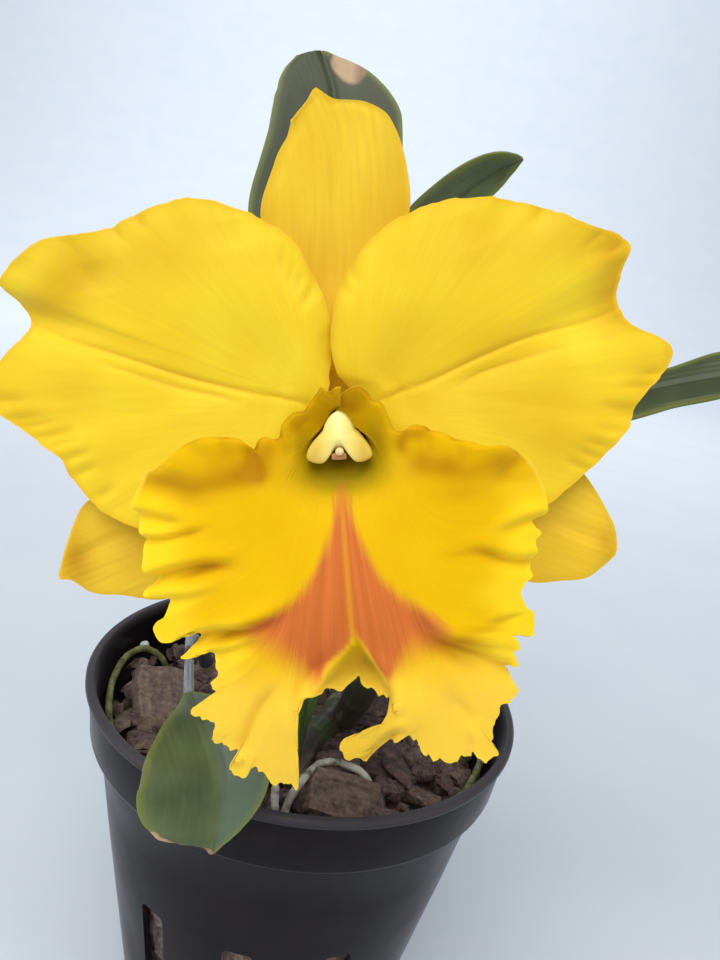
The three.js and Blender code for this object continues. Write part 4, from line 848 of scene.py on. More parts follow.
def eased_apart(flat, first):
    """Places where the flat pattern lies folded over itself are drawn to their neighbours."""
    for _ in range(EASING_ROUNDS):
        out, round_it = np.diff(flat, axis=0), np.diff(flat, axis=1)
        near = np.zeros(flat.shape[:2], bool)
        corners = ((out[:, :-1], round_it[:-1]), (out[:, 1:], round_it[1:]),
                   (out[:, :-1], round_it[1:]), (out[:, 1:], round_it[:-1]))
        for p, q in corners:  # the turn from outwards to sideways at each corner of each face
            crossed = p[..., 0] * q[..., 1] - p[..., 1] * q[..., 0] < SMALLEST_FACE
            for i, j in ((0, 0), (0, 1), (1, 0), (1, 1)):
                near[i:i + len(crossed), j:j + len(crossed[0])] |= crossed
        near[:first] = False
        inner = near[1:-1, 1:-1]
        mean = (flat[:-2, 1:-1] + flat[2:, 1:-1] + flat[1:-1, :-2] + flat[1:-1, 2:]) / 4
        flat[1:-1, 1:-1][inner] = mean[inner]
    print("still folded over:", inner.sum(), "places")


# %% Lip rules
ROW_CROWDING = 0.88  # the lip's rows lie closer together towards its edge


def lip_places(columns, rows):
    """The lip's grid in the flower's frame, and the length of its edge."""
    t = np.linspace(0, 1, columns + 1)
    line, length = even_line(LIP_EDGE, t)
    reach = int(3.4 / length * columns)

    def along_edge(rules, last):
        """The places that a table gives for some places of the edge, for every place of the edge."""
        found = []
        for x, y, *goal in rules:  # the next place of the edge that is nearest
            last += int(np.argmin(((line[last:last + columns // 6] - (x, y)) ** 2).sum(1)))
            found.append((t[last], *goal))
        goals = [through([(place[0], place[k]) for place in found], t) for k in (1, 2)]
        return np.column_stack(goals), found

    half_way = calmed(along_edge(LIP_RULES, 0)[0], 3 * reach)
    based, found = along_edge(LIP_FLAP, columns // 2)
    based = np.where(((t >= found[0][0]) & (t <= found[-1][0]))[:, None], based, line)
    calm = calmed(calmed(based, 2 * reach), reach)
    run = np.append(0, np.cumsum(np.linalg.norm(np.diff(half_way, axis=0), axis=1)))
    angle = np.degrees(np.unwrap(np.arctan2(half_way[:, 1] - LIP_HEART[1], half_way[:, 0] - LIP_HEART[0])))
    angle = (angle - angle[0]) / (angle[-1] - angle[0]) + 0.8 * run / run[-1]
    turn = np.radians(LIP_START + calmed(np.maximum.accumulate(angle), 4 * reach) / 1.8 * LIP_TURN)
    knots = []
    for middle, top, bottom, radii in LIP_THROAT:
        radius = through(radii, np.degrees(np.arcsin(np.sin(turn)))) - 0.9 * ease(t, 0.88, 0.97)
        x, y = radius * np.cos(turn), middle + radius * np.sin(turn)
        knots.append(np.column_stack([x, y, top + (bottom - top) * (0.5 - 0.5 * np.sin(turn))]))
    held = LIP_DEPTHS + [tuple(place) for place in knots[2][columns // 20:-columns // 20:columns // 12]]
    for flat in (half_way, calm):
        knots.append(np.column_stack([flat, calm_depth(held, flat)]))
    # Fine teeth: none at the upper margins, most along the two lower lobes.
    run = t * length
    toothed = through([(0, 0), (0.22, 0), (0.3, 0.3), (0.4, 1), (0.5, 0.6), (0.56, 1), (0.66, 1),
                       (0.78, 0.5), (0.86, 0.1), (1, 0)], t)
    toothed *= 1 - patches(line, [(37.5, -43, 3.5, 3.5, 1)])
    out = unit(line - half_way)
    teeth = 0.8 * wobble(run, 0.9, 31) + 0.3 * wobble(run, 1.7, 32)
    edge = line + out * (toothed * teeth + 0.08 * wobble(run, 2.2, 33))[:, None]
    stand_out = line - calm
    late = 2.4 + 0.4 * np.linalg.norm(stand_out, axis=1)[:, None]  # a long flap starts close to the edge
    s = np.linspace(0, 1, rows + 1) ** ROW_CROWDING
    places = np.empty((rows + 1, columns + 1, 3))
    for j, share in enumerate(s):
        i = min(int(np.searchsorted(LIP_KNOTS[1:], share)), 3)
        u0, u1, a, b = LIP_KNOTS[i], LIP_KNOTS[i + 1], knots[i], knots[i + 1]
        p, n = max(i - 1, 0), min(i + 2, 4)
        slope_a = (b - knots[p]) / (u1 - LIP_KNOTS[p]) * (u1 - u0)
        slope_b = (knots[n] - a) / (LIP_KNOTS[n] - u0) * (u1 - u0)
        places[j] = bent(a, b, slope_a, slope_b, (share - u0) / (u1 - u0))
        places[j, :, :2] += stand_out * max(0, (share - 0.4) / 0.6) ** late
        places[j, :, :2] += (edge - line) * max(0, (share - 0.9) / 0.1)
    eased_apart(places[..., :2], rows // 2)
    for j, share in enumerate(s):
        spline = float(ease(share, 0.34, 0.5))
        if spline:
            places[j, :, 2] += spline * (calm_depth(held, places[j]) - places[j, :, 2])
    return places, length


# %% Lip relief
columns, rows = 720, 50
lip_grid, lip_length = lip_places(columns, rows)
lip_at = lip_grid.reshape(-1, 3).copy()
across, out_share = shares(columns, rows)
out_share = out_share**ROW_CROWDING
rim_place = np.tile(lip_grid[-1], (rows + 1, 1))
margin = np.linalg.norm(lip_at - rim_place, axis=1)  # mm to the edge along a rule
outer = ease(out_share, 0.42, 0.6)
x, y, flat_depth = lip_at.T.copy()
flat = np.column_stack([x, y])
for line, width, valley, over in LIP_FOLDS:
    lip_at[:, 2] += outer * fold(flat, line, width, 1.3 * valley, 1.3 * over)
for shift, width, depth in ((0, 0.75, 0.55), (-1.9, 1.1, -0.45), (2.1, 1.1, -0.45)):  # midline, furrows
    beside = np.column_stack([x + shift * ease(y, -12, -60), y])
    lip_at[:, 2] += outer * crease(beside, LIP_MIDLINE, width, depth)
for line in ([(-10.9, -11.6), (-9.7, -12.8)], [(9.8, -11.4), (8.6, -12)]):  # calluses by the column
    lip_at[:, 2] += crease(flat, line, 0.5, 0.4)
upper = ease(np.abs(across - 0.5), 0.3, 0.36)
lip_at[:, 2] -= 0.7 * ease(margin, 1.5, 0) * upper  # the margin beside the column rolls back
lip_at[:, 2] -= 0.9 * ease(across, 0.965, 0.985) * ease(out_share, 0.3, 0.6)  # and one end lies behind
lip_at[:, 2] += 0.35 * wobble(across * lip_length, 4, 34) * ease(margin, 4, 0) * (1 - upper)
print("the lip stands", round(lip_at[:, 2].max() - lip_at[:, 2].min()), "mm deep")

# %% Where the lip is dyed and where shade is painted on it
LIP_BLAZE_TOP = [(-21, -42.5), (-18, -41.4), (-15, -40), (-12, -38.4), (-10, -37), (-8, -35),
                 (-6.5, -33), (-5, -30), (-3.9, -27.5), (-2.5, -25), (-1.5, -20), (0.3, -16),
                 (1.8, -20), (3.4, -25), (4.5, -27.5), (5.7, -30), (7, -33), (9, -35), (11, -37),
                 (14, -38.8), (17, -40.6), (20, -43), (23, -45.5)]
LIP_BLAZE_END = [(-21, -45), (-16, -48), (-12, -50.5), (-8, -54.5), (-6.3, -55.5), (-4, -51.6),
                 (-1.5, -49), (0.6, -46.8), (2, -45.2), (3.6, -47.2), (5, -49.5), (7, -53),
                 (8.5, -54.5), (12, -50.4), (16, -48.8), (20, -47.6), (24, -46.6)]
# Patches of painted shade in deep amber: under the rolled upper margin and the folds, and where the lip
# turns away from the light.
LIP_SHADE_PATCHES = [(-17.8, -11.5, 3.6, 3, 1), (-23, -12.8, 5, 2.6, 0.7), (-14.8, -7.2, 2.2, 2.4, 0.7),
             (-9, -2.6, 1.8, 2, 0.5), (-30, -14.2, 6, 1.8, 0.5), (-30, -10, 7, 3, 0.2),
             (-36.5, -12.4, 4, 1.6, 0.45), (-23, -8, 5, 3, 0.4), (-39.5, -20.6, 3.5, 0.9, 0.4),
             (16, -5.2, 2.4, 1.5, 0.8), (12.4, -7, 1.8, 1.8, 0.5), (16.5, -11, 3, 3, 0.75),
             (21.5, -12, 3.6, 3, 0.75), (27, -13.5, 5, 2.6, 0.6), (33, -11.4, 3, 2.2, 0.55),
             (25, -18, 6, 2, 0.35), (18, -22, 10, 8, 0.13), (-18, -22, 9, 8, 0.1),
             (37, -15.6, 3, 1, 0.4), (-28, -30.6, 6, 1, 0.5), (25, -30, 5, 0.8, 0.4),
             (-27, -46.3, 6, 1.8, 0.7), (-23, -50, 4, 2, 0.3), (22, -46.8, 6, 1.6, 0.6),
             (28, -50.5, 6, 2, 0.65), (28, -46.8, 6, 1.8, 0.6), (32, -44.6, 2, 0.7, 0.5),
             (-17, -41.6, 3, 0.8, 0.7), (31.6, -44, 2, 0.6, 0.8), (8, -65, 4, 1, 0.6),
             (-23.6, -72.6, 1.5, 1.1, 0.6), (-16, -57.5, 1, 3, 0.25), (21, -59.5, 1, 3, 0.2)]
# Olive of the throat, deepened into painted shade inside the tube and under the column.
LIP_OLIVE_AND_SHADE = [(0, -12.5, 9, 3.6, 1), (-7.5, -7, 3, 4, 0.45), (8, -6, 3, 5, 0.5), (0, -3, 7, 7, 0.7),
             (0, -9, 11, 5, 0.3), (0, -14.5, 8, 3, 0.35)]
# The first table is painted shade, the second olive deepened by painted shade.
print(len(LIP_SHADE_PATCHES) + len(LIP_OLIVE_AND_SHADE), "patches of painted shade and olive beside the blaze")

# %% Lip colour marks
middle = 1.7 * (-16 - y) / 37  # the midline drifts to the right on its way down
blur = through([(0, 4.5), (3, 3.6), (6, 2.2), (10, 1.7), (25, 1.5)], np.abs(x - middle))
fade = 1 + 4 * ease(np.abs(x - 1.5), 5, 11)  # it fades out slowly towards the two lobes
blaze_end = through(LIP_BLAZE_END, x)
blaze = ease((through(LIP_BLAZE_TOP, x) - y) / blur, -1.1, 1.3) * ease((y - blaze_end) / fade, -0.8, 1.4)
lines = sum(np.exp(-((x - middle - k) / 0.32) ** 2) for k in (-1.7, -0.8, 0.9, 1.9))
lines *= ease(y, -15.5, -18) * ease(y, -31, -24)
blaze = np.maximum(blaze, 0.7 * lines) * ease(np.abs(x), 24, 19) * ease(lip_at[:, 2], 21, 24)
# The blaze is weaker along the raised midline: a painted highlight on the ridge.
lit_ridge = np.exp(-((x - middle) / 0.55) ** 2) * ease(y, -17, -22)
# How far the folds push the sheet back. The hollows get painted shade.
sunk = np.clip(flat_depth - lip_at[:, 2], 0, 3)
olive = patches(lip_at, LIP_OLIVE_AND_SHADE)
sinus = ease(blaze_end - y, -0.5, 1.5) * ease(np.abs(x - 1), 9.5, 7)  # the notch between the lobes, which gets painted shade
# tint is all painted shade here: the shade patches, the notch and the folds' hollows. The notch adds
# painted shade to the olive mark too.
marks = {
    "across": across * 330, "along": out_share * 60, "edge": margin + 1.2 * ease(y, -14, -8),
    "tint": np.clip(0.8 * patches(lip_at, LIP_SHADE_PATCHES) + 0.65 * sinus + 0.55 * ease(sunk, 0.2, 1.6), 0, 0.85),
    "blaze": blaze * (1 - 0.38 * lit_ridge), "pale": ease(margin, 15, 4) * ease(y, -12, -22) * (1 - sinus),
    "lobe": ease(y, -46, -60), "olive": np.clip(olive + 0.3 * sinus, 0, 1),
    "thin": 1 - 0.5 * ease(margin, 4, 0),
}
lip = grid_piece("lip_sheet", columns, rows, in_bloom(lip_at), marks)
thicken(lip, 0.6)
print("lip edge", round(lip_length), "mm long")

# %% [markdown]
# ### The lip's colours
# Dye and shade are painted by marks on the sheet: an orange blaze that feathers out along the veins,
# painted shade in deep amber under the rolled upper margin, in the folds and in the notch between
# the lobes, a painted highlight along the margin, paler yellow on the lobes, and olive in the
# throat, where the yellow sap covers green, deepened by painted shade in the tube. Every feather is
# a vein that carries the dye a little further than the next.

# %% Lip tissue
# The lip's margin colour is lighter than its yellow: a painted highlight along the rolled edge.
lip_tissue, lip_yellow = tissue("lip_tissue", "#F0C000", "#E8B400", "#B27400", "#FFD440",
                                vein=0.1, gloss=0.08)
lip_mark = {m: add(lip_tissue, "Attribute", {"attribute_name": m})["Fac"]
            for m in ("blaze", "olive", "pale", "lobe")}
pale_share = add(lip_tissue, "Math", {"operation": "MULTIPLY", 1: 0.8}, i0=lip_mark["pale"])[0]
for share, tone in ((pale_share, "#FFD822"), (lip_mark["lobe"], "#FBCC40")):
    lip_yellow = add(lip_tissue, "Mix", {"data_type": "RGBA", 7: tone}, i0=share, i6=lip_yellow)[2]
# Dye runs further along some veins than along others, about 2 mm apart.
feather = fibres(lip_tissue, 0.03, 0.55, Detail=3.0, Roughness=0.65)
pushed = add(lip_tissue, "Math", {"operation": "MULTIPLY_ADD", 1: 0.4, 2: -0.2}, i0=feather)[0]
dye = add(lip_tissue, "Math", {"operation": "ADD"}, i0=lip_mark["blaze"], i1=pushed)[0]
dyed = add(lip_tissue, "MapRange", {"From Min": 0.05, "From Max": 0.95, "To Max": 0.95}, Value=dye)[0]
inside = add(lip_tissue, "MapRange", {"From Max": 0.15}, Value=lip_mark["blaze"])[0]
dye_share = add(lip_tissue, "Math", {"operation": "MULTIPLY"}, i0=dyed, i1=inside)[0]
# Olive green of the throat, deepened by painted shade inside the tube, under the column and in the notch.
olive_and_shade_share = add(lip_tissue, "Math", {"operation": "MULTIPLY", 1: 0.92}, i0=lip_mark["olive"])[0]
throat_olive_and_shade = add(lip_tissue, "Mix", {"data_type": "RGBA", 7: "#847203"}, i0=olive_and_shade_share, i6=lip_yellow)[2]
orange = add(lip_tissue, "ValToRGB", {"stops": [(0.3, "#D9723A"), (0.75, "#C2602B")]}, Fac=feather)["Color"]
blazed = add(lip_tissue, "Mix", {"data_type": "RGBA"}, i0=dye_share, i6=throat_olive_and_shade, i7=orange)[2]
wire(lip_tissue, Base_Color=blazed)
finished(lip, lip_tissue, "lip")

# %% [markdown]
# ## Column and anther cap
# In an orchid the male and female parts are one body, the column. It is round at its foot and ends
# in a hood with two wings, waxy and cream. A rolled grid follows its measured outline, and its front
# is closed by a low dome. The anther cap hangs in the notch: a small sphere, squeezed, with a furrow,
# over a little shelf, which is a bevelled cube.

# %% Column
HOOD = [(-90, 2.4), (-72, 2.6), (-65, 3.8), (-60, 5.9), (-51, 7), (-41, 7.7), (-32, 8), (-23, 7.1),
        (-10, 5.5), (0, 4.5), (18, 3.5), (50, 3.9), (74, 4.7), (90, 5.2)]
COLUMN_BACK, COLUMN_FRONT = -5, 25

columns, rows = 120, 90
u, v = shares(columns, rows)
bearing = u * 2 * math.pi - math.pi / 2
folded = np.degrees(np.arcsin(np.clip(np.sin(bearing), -1, 1)))
wall = np.clip((v - 0.03) / 0.72, 0, 1)  # the share along the wall, then the front closes
closing = np.clip((v - 0.75) / 0.25, 0, 1)
z = COLUMN_BACK + (COLUMN_FRONT - COLUMN_BACK) * wall
hooded = ease(z, 6, COLUMN_FRONT - 1) ** 1.5
radius = (3 + (through(HOOD, folded) - 3) * hooded) * (1 - closing) * np.clip(v / 0.03, 0, 1)
z += 1.5 * np.sqrt(np.clip(1 - (1 - closing) ** 2, 0, 1)) * (closing > 0)
at = np.column_stack([radius * np.cos(bearing), -2 - 3 * hooded + radius * np.sin(bearing), z])
at[:, 2] -= patches(at, [(0, -7.6, 1.6, 1.4, 1)]) * (closing > 0)  # the hollow that holds the cap
marks = {"wing": np.abs(at[:, 0])}
column = grid_piece("column_body", columns, rows, in_bloom(at), marks, rolled=True)

# %% Column wax
# Firm, waxy flesh: light soaks in and comes out warm, and the smooth skin gives a soft highlight.
waxy_column = new_finish("waxy_column", 1.42, 0.38, Subsurface_Weight=0.3, Subsurface_Scale=0.0015,
                         Subsurface_Radius=(1.0, 0.8, 0.35))
wing = add(waxy_column, "Attribute", {"attribute_name": "wing"})["Fac"]
wing_share = add(waxy_column, "MapRange", {"From Max": 7.0}, Value=wing)[0]
cream = add(waxy_column, "ValToRGB", {"stops": [(0.0, "#FFF3A0"), (0.35, "#F7DE76"), (0.7, "#E4BE48"),
                                                (1.0, "#E3BE48")]}, Fac=wing_share)["Color"]
column_place = add(waxy_column, "TexCoord")["Object"]
grain = add(waxy_column, "TexNoise", {"Scale": 900.0, "Detail": 2.0}, Vector=column_place)["Fac"]  # 1 mm
column_bump = add(waxy_column, "Bump", {"Strength": 0.12, "Distance": 0.0002}, Height=grain)["Normal"]
wire(waxy_column, Base_Color=cream, Normal=column_bump)
finished(column, waxy_column, "column")

# %% Anther cap
nothing_selected()
bpy.ops.mesh.primitive_cube_add(size=1)
shelf = bpy.context.object
bpy.ops.object.mode_set(mode="EDIT")
bpy.ops.mesh.bevel(offset=0.16, segments=3)
bpy.ops.object.mode_set(mode="OBJECT")
nothing_selected()
bpy.ops.mesh.primitive_uv_sphere_add(segments=40, ring_count=24, radius=1)
cap = bpy.context.object
cap.name = "anther_cap_body"
for piece, size, place, pale in ((shelf, (3.1, 1.4, 2.4), (-0.1, -9.1, COLUMN_FRONT - 0.6), 0.1),
                                 (cap, (0.9, 0.85, 0.9), (0.1, -8.1, COLUMN_FRONT + 0.7), 0.9)):
    part_at = np.array([v.co for v in piece.data.vertices])
    if piece == cap:  # a furrow along its front
        part_at[:, 2] -= 0.3 * np.exp(-(part_at[:, 0] / 0.25) ** 2) * (part_at[:, 2] > 0)
    piece.data.vertices.foreach_set("co", (in_bloom(part_at * size + place) * MM).ravel())
    pale_mark = piece.data.attributes.new("pale", "FLOAT", "POINT")
    pale_mark.data.foreach_set("value", np.full(len(part_at), pale))
select_only(cap, shelf)
bpy.ops.object.join()

# %% Anther cap finish
# A dry little cap over the pollen: duller than the column, mottled brown and cream.
pollen_cap = new_finish("pollen_cap", 1.42, 0.45, Subsurface_Weight=0.2, Subsurface_Scale=0.001)
cap_place = add(pollen_cap, "TexCoord")["Object"]
cap_noise = add(pollen_cap, "TexNoise", {"Scale": 700.0, "Detail": 2.0}, Vector=cap_place)["Fac"]  # 1.5 mm
cap_pale = add(pollen_cap, "Math", {"operation": "MULTIPLY_ADD", 1: 0.5, 2: -0.25}, i0=cap_noise)[0]
cap_pale = add(pollen_cap, "Math", {"operation": "ADD"}, i0=cap_pale,
               i1=add(pollen_cap, "Attribute", {"attribute_name": "pale"})["Fac"])[0]
cap_tone = add(pollen_cap, "ValToRGB", {"stops": [(0.1, "#B07C48"), (0.9, "#F2D29A")]},
               Fac=cap_pale)["Color"]
wire(pollen_cap, Base_Color=cap_tone)
finished(cap, pollen_cap, "anther_cap")

# %% [markdown]
# ## Leaves
# A cattleya leaf is thick and leathery under a waxy skin. It folds along its keel, its veins run
# lengthwise, and old ones carry scars. The blade helper places them. The skin gets a soft gloss,
# a darker bed with fine lighter veins, a yellower margin, and corky brown where it was damaged.

# %% Leaf measurements
LEAVES = {
    "leaf_back": {
        "middle": [(-0.8, -9.6, 192.2), (-8, 2, 222), (-17, 13, 256), (-22.5, 22, 288), (-23, 28, 311),
                   (-26.5, 32.5, 327), (-33, 35.8, 338.6)],
        "across": (1, 0.1, 0.1), "fold": 0.12, "thickness": 1.8, "seed": 41, "shade": 0.76,
        "foot": (-0.2, -11.6, 190),
        "left": [(0, 3.2), (0.12, 9), (0.35, 18), (0.63, 24.3), (0.72, 23), (0.87, 20.6), (0.952, 17.6),
                 (0.98, 14), (1, 8.5)],
        "right": [(0, 3.2), (0.12, 9), (0.35, 18), (0.6, 23), (0.85, 22), (0.894, 18.2), (0.937, 11.6),
                  (0.97, 6), (1, 1)],
        "scars": [(-21, 33, 334, 5), (-25.5, 34, 337, 4)],
    },
    "leaf_upper_right": {
        "middle": [(14.7, 23.2, 196), (9, 32, 228), (7.5, 39, 258), (12, 42, 283), (21, 43, 299.5),
                   (31.5, 43, 311), (41.4, 42, 318.3)],
        "across": (1, 0.35, 0), "fold": 0.2, "thickness": 1.8, "seed": 42, "shade": 0.15,
        "foot": (14.9, 22.3, 194.2),
        "left": [(0, 3.2), (0.2, 9), (0.5, 13.5), (0.71, 12.4), (0.8, 11), (0.91, 9.2), (0.957, 7),
                 (0.99, 2.9), (1, 0.5)],
        "right": [(0, 3.2), (0.2, 9), (0.5, 12.5), (0.75, 8.5), (0.89, 6.2), (0.93, 5), (0.97, 2.5),
                  (1, 0.5)],
        "scars": [],
    },
    "leaf_right": {
        "middle": [(28.6, 20.8, 195), (44, 23, 214), (66, 24, 234), (93, 22, 247), (121, 20, 258.5),
                   (147, 18, 266)],
        "across": (-0.1, -0.75, -0.62), "fold": 0.12, "thickness": 1.8, "seed": 43, "shade": 0.62,
        "foot": (27.8, 20.9, 192.2),
        "left": [(0, 3.5), (0.2, 8), (0.5, 9.4), (0.69, 8), (0.82, 10.6), (0.93, 7.5), (1, 0.6)],
        "right": [(0, 3.5), (0.2, 8), (0.45, 12), (0.57, 13), (0.68, 10.8), (0.78, 10.4), (0.92, 7),
                  (1, 0.6)],
        "scars": [],
    },
    "leaf_front_left": {
        "middle": [(-30, -58.3, 150.1), (-22.5, -70.5, 149.4), (-15.5, -79, 142.5), (-13.5, -84.2, 132),
                   (-13.6, -86.2, 125)],
        "across": (1, 0.25, 0.1), "fold": -0.2, "thickness": 1.4, "seed": 44, "shade": 0, "worn": True,
        "left": [(0, 1.6), (0.16, 6), (0.3, 12.4), (0.4, 17.2), (0.55, 19.8), (0.77, 19.8), (0.915, 15),
                 (0.94, 12), (0.965, 3.5), (1, 0.6)],
        "right": [(0, 1.6), (0.12, 7), (0.3, 12.5), (0.5, 14), (0.67, 11.5), (0.815, 7.4), (0.913, 3.7),
                  (1, 0.6)],
        "scars": [],
    },
}
print(len(LEAVES), "leaves measured")

# %% Leaf skin
leaf_skin = new_finish("waxy_leaf_skin", 1.45, 0.4, Subsurface_Weight=0.06, Subsurface_Scale=0.001,
                       Coat_Weight=0.04, Coat_Roughness=0.35, Specular_IOR_Level=0.35)  # wax: a broad gloss
leaf_mark = {m: add(leaf_skin, "Attribute", {"attribute_name": m})["Fac"]
             for m in ("edge", "scar", "bloom", "shade")}
leaf_place = add(leaf_skin, "TexCoord")["Object"]
leaf_vein = fibres(leaf_skin, 0.04, 1.1, Detail=3.0)  # 0.9 mm
leaf_cloud = add(leaf_skin, "TexNoise", {"Scale": 60.0, "Detail": 3.0}, Vector=leaf_place)["Fac"]  # 16 mm
leaf_green = add(leaf_skin, "ValToRGB", {"stops": [(0.35, "#465230"), (0.65, "#5F6D45")]},
                 Fac=leaf_cloud)["Color"]
leaf_fine = add(leaf_skin, "MapRange", {"From Min": 0.5, "From Max": 0.75, "To Max": 0.22},
                Value=leaf_vein)[0]
leaf_rim = add(leaf_skin, "MapRange", {"From Min": 2.4, "From Max": 0.2, "To Max": 0.65},
               Value=leaf_mark["edge"])[0]
for share, tone in ((leaf_fine, "#66784A"), (leaf_mark["bloom"], "#66756A"),
                    (leaf_mark["shade"], "#30341E"), (leaf_rim, "#7C8436")):
    leaf_green = add(leaf_skin, "Mix", {"data_type": "RGBA", 7: tone}, i0=share, i6=leaf_green)[2]
cork = add(leaf_skin, "ValToRGB", {"stops": [(0.4, "#6B4A30"), (0.6, "#B99A78")]}, Fac=leaf_cloud)["Color"]
leaf_green = add(leaf_skin, "Mix", {"data_type": "RGBA"}, i0=leaf_mark["scar"], i6=leaf_green, i7=cork)[2]
leaf_bump = add(leaf_skin, "Bump", {"Strength": 0.3, "Distance": 0.0002}, Height=leaf_vein)["Normal"]
wire(leaf_skin, Base_Color=leaf_green, Normal=leaf_bump)


# %% Leaves
def leaf(name, form):
    """A leaf: a blade with a keel, a wavy edge and its scars."""
    columns, rows = 150, 44
    u, v = shares(columns, rows)
    places, raised, across, along, edge = blade_places(form, u, v)
    keel = -0.5 * np.exp(-(across / 1.3) ** 2)
    wave = 0.7 * wobble(along, 22, form["seed"]) * ease(edge, 7, 0)
    ribs = 0.04 * np.cos(across * 2 * math.pi / 2.1)
    places += raised * (keel + wave + ribs)[:, None]
    scar = np.zeros(len(places))
    for x, y, z, size in form["scars"]:
        scar += np.exp(-((places - (x, y, z)) ** 2).sum(1) / size**2)
    if "foot" in form:  # the blade's foot is drawn down on to its swollen stem
        places += ease(along, 6, 0)[:, None] * (np.array(form["foot"]) - form["middle"][0])
    if "worn" in form:  # corky along its end and along one margin
        scar += ease(along, along.max() * 0.985, along.max()) * (across < 0)
        scar += ease(along, along.max() * 0.86, along.max() * 0.91) * ease(edge, 1.7, 0.8) * (across < -0.5)
    places -= raised * (0.5 * np.clip(scar, 0, 1))[:, None]
    marks = {"across": across, "along": along, "edge": edge, "scar": ease(scar, 0.35, 0.6),
             "thin": 1 - 0.55 * ease(edge, 4, 0), "shade": form["shade"] + 0 * across,
             "bloom": 0.55 * ease(across, -0.3, 1.2) if "worn" in form else across * 0}
    piece = grid_piece(name + "_blade", columns, rows, places, marks)
    thicken(piece, form["thickness"])
    finished(piece, leaf_skin, name)


for leaf_name, leaf_form in LEAVES.items():
    leaf(leaf_name, leaf_form)

# %% [markdown]
# ## Stems: a rolled grid
# Flower stalk, ovary, swollen stems, cane, creeping stem and roots are all round bodies of changing
# thickness along a bent line. A grid is rolled round the line, ring by ring, its seam is merged, and
# its ends close in a point. Ribs, joints and dry skins are small changes of the radius.

# %% Stem helper
def ring(ahead, side, turn, radius):
    """Places on a ring round a line, at a share of a full turn from the side."""
    angle = turn * 2 * math.pi
    return (side * (radius * np.cos(angle))[:, None]
            + np.cross(side, ahead) * (radius * np.sin(angle))[:, None])


def stem_places(points, radii, columns, rows, relief):
    """Places of a rolled grid along the line, with the marks for its skin."""
    u, v = shares(columns, rows)
    end = 0.03
    w = np.clip((v - end) / (1 - 2 * end), 0, 1)
    closing = np.sqrt(np.clip(1 - (1 - np.minimum(np.minimum(v, 1 - v) / end, 1)) ** 2, 0, 1))
    line, ahead, side, length = along_line(points, w)
    mean = through(radii, w)
    places = line + ring(ahead, side, u, (mean + relief(u, w)) * closing)
    dome = np.where(v > 0.5, 0.5, -0.5) * mean * (1 - closing)  # one at each end
    places += ahead * dome[:, None]
    return places, {"across": np.abs(2 * u - 1) * math.pi * mean, "along": w * length, "share": w}


def stem(node, slot, finish, points, radii, columns, rows, relief, extra=None):
    """A whole stem: its rolled grid, its marks and those that `extra` gives, and its material."""
    places, marks = stem_places(points, radii, columns, rows, relief)
    marks.update(extra(*shares(columns, rows)) if extra else {})
    piece = grid_piece(node + "_body", columns, rows, places, marks, rolled=True)
    finished(piece, finish, node)


# %% [markdown]
# ## Green stems and their dry skins
# A swollen stem stores water. Its skin is green, ribbed where it has shrunk a little, ringed at its
# joints, and wrapped at the foot in the papery remains of old sheaths, which end in a ragged edge.

# %% Stem skin
# A tough green skin with a dull shine. Where a sheath has dried on it, it looks like straw.
stem_skin = new_finish("ribbed_stem_skin", 1.45, 0.45, Subsurface_Weight=0.05, Subsurface_Scale=0.001)
stem_mark = {m: add(stem_skin, "Attribute", {"attribute_name": m})["Fac"] for m in ("film", "stained")}
stem_place = add(stem_skin, "TexCoord")["Object"]
stem_streak = fibres(stem_skin, 0.07, 0.9, Detail=4.0)  # 1 mm
stem_cloud = add(stem_skin, "TexNoise", {"Scale": 90.0, "Detail": 3.0}, Vector=stem_place)["Fac"]  # 11 mm
stem_green, paper_skin = (
    add(stem_skin, "ValToRGB", {"stops": stops}, Fac=stem_streak)["Color"]
    for stops in ([(0.35, "#33481F"), (0.65, "#5A7032")], [(0.4, "#8C7A5C"), (0.6, "#CDBF9F")]))
film_edge = add(stem_skin, "Math", {"operation": "MULTIPLY_ADD", 1: 0.5, 2: -0.25}, i0=stem_cloud)[0]
film_share = add(stem_skin, "Math", {"operation": "ADD"}, i0=stem_mark["film"], i1=film_edge)[0]
film_share = add(stem_skin, "MapRange", {"From Min": 0.4, "From Max": 0.55}, Value=film_share)[0]
stem_tone = add(stem_skin, "Mix", {"data_type": "RGBA"}, i0=film_share, i6=stem_green, i7=paper_skin)[2]
# Darker where a stain is, and painted shade on the foot of the second swollen stem.
stem_tone = add(stem_skin, "Mix", {"data_type": "RGBA", 7: "#40332F"},
                i0=stem_mark["stained"], i6=stem_tone)[2]
stem_bump = add(stem_skin, "Bump", {"Strength": 0.4, "Distance": 0.0003}, Height=stem_streak)["Normal"]
wire(stem_skin, Base_Color=stem_tone, Normal=stem_bump)

# %% Swollen stems
BULB_RADII = [(0, 4.6), (0.15, 5.2), (0.55, 8.2), (0.8, 7.4), (0.95, 5.2), (1, 4.4)]
LEAD_RADII = [(0, 4), (0.18, 4.4), (0.6, 8), (0.82, 7.2), (0.95, 5.2), (1, 4.4)]
BULBS = {  # line, share under the papery skin, seed, how dark its foot is painted (painted shade on the second one)
    "pseudobulb_lead": ([(-1, -31, 119), (0, -33, 136), (2.5, -24, 164), (0, -12, 190)], -0.1, 51, 0),
    "pseudobulb_second": ([(16, -6, 119), (20, -8, 136), (20, 6, 165), (15, 22, 194)], 0.04, 52, 0.85),
    "pseudobulb_third": ([(14, 16, 119), (31, 21, 134), (34, 24, 165), (28, 21, 192)], 0.12, 53, 0),
    "pseudobulb_old": ([(-2, 42, 119), (-10, 45, 134), (-14, 46, 156), (-14, 44, 176)], 0.62, 54, 0),
}
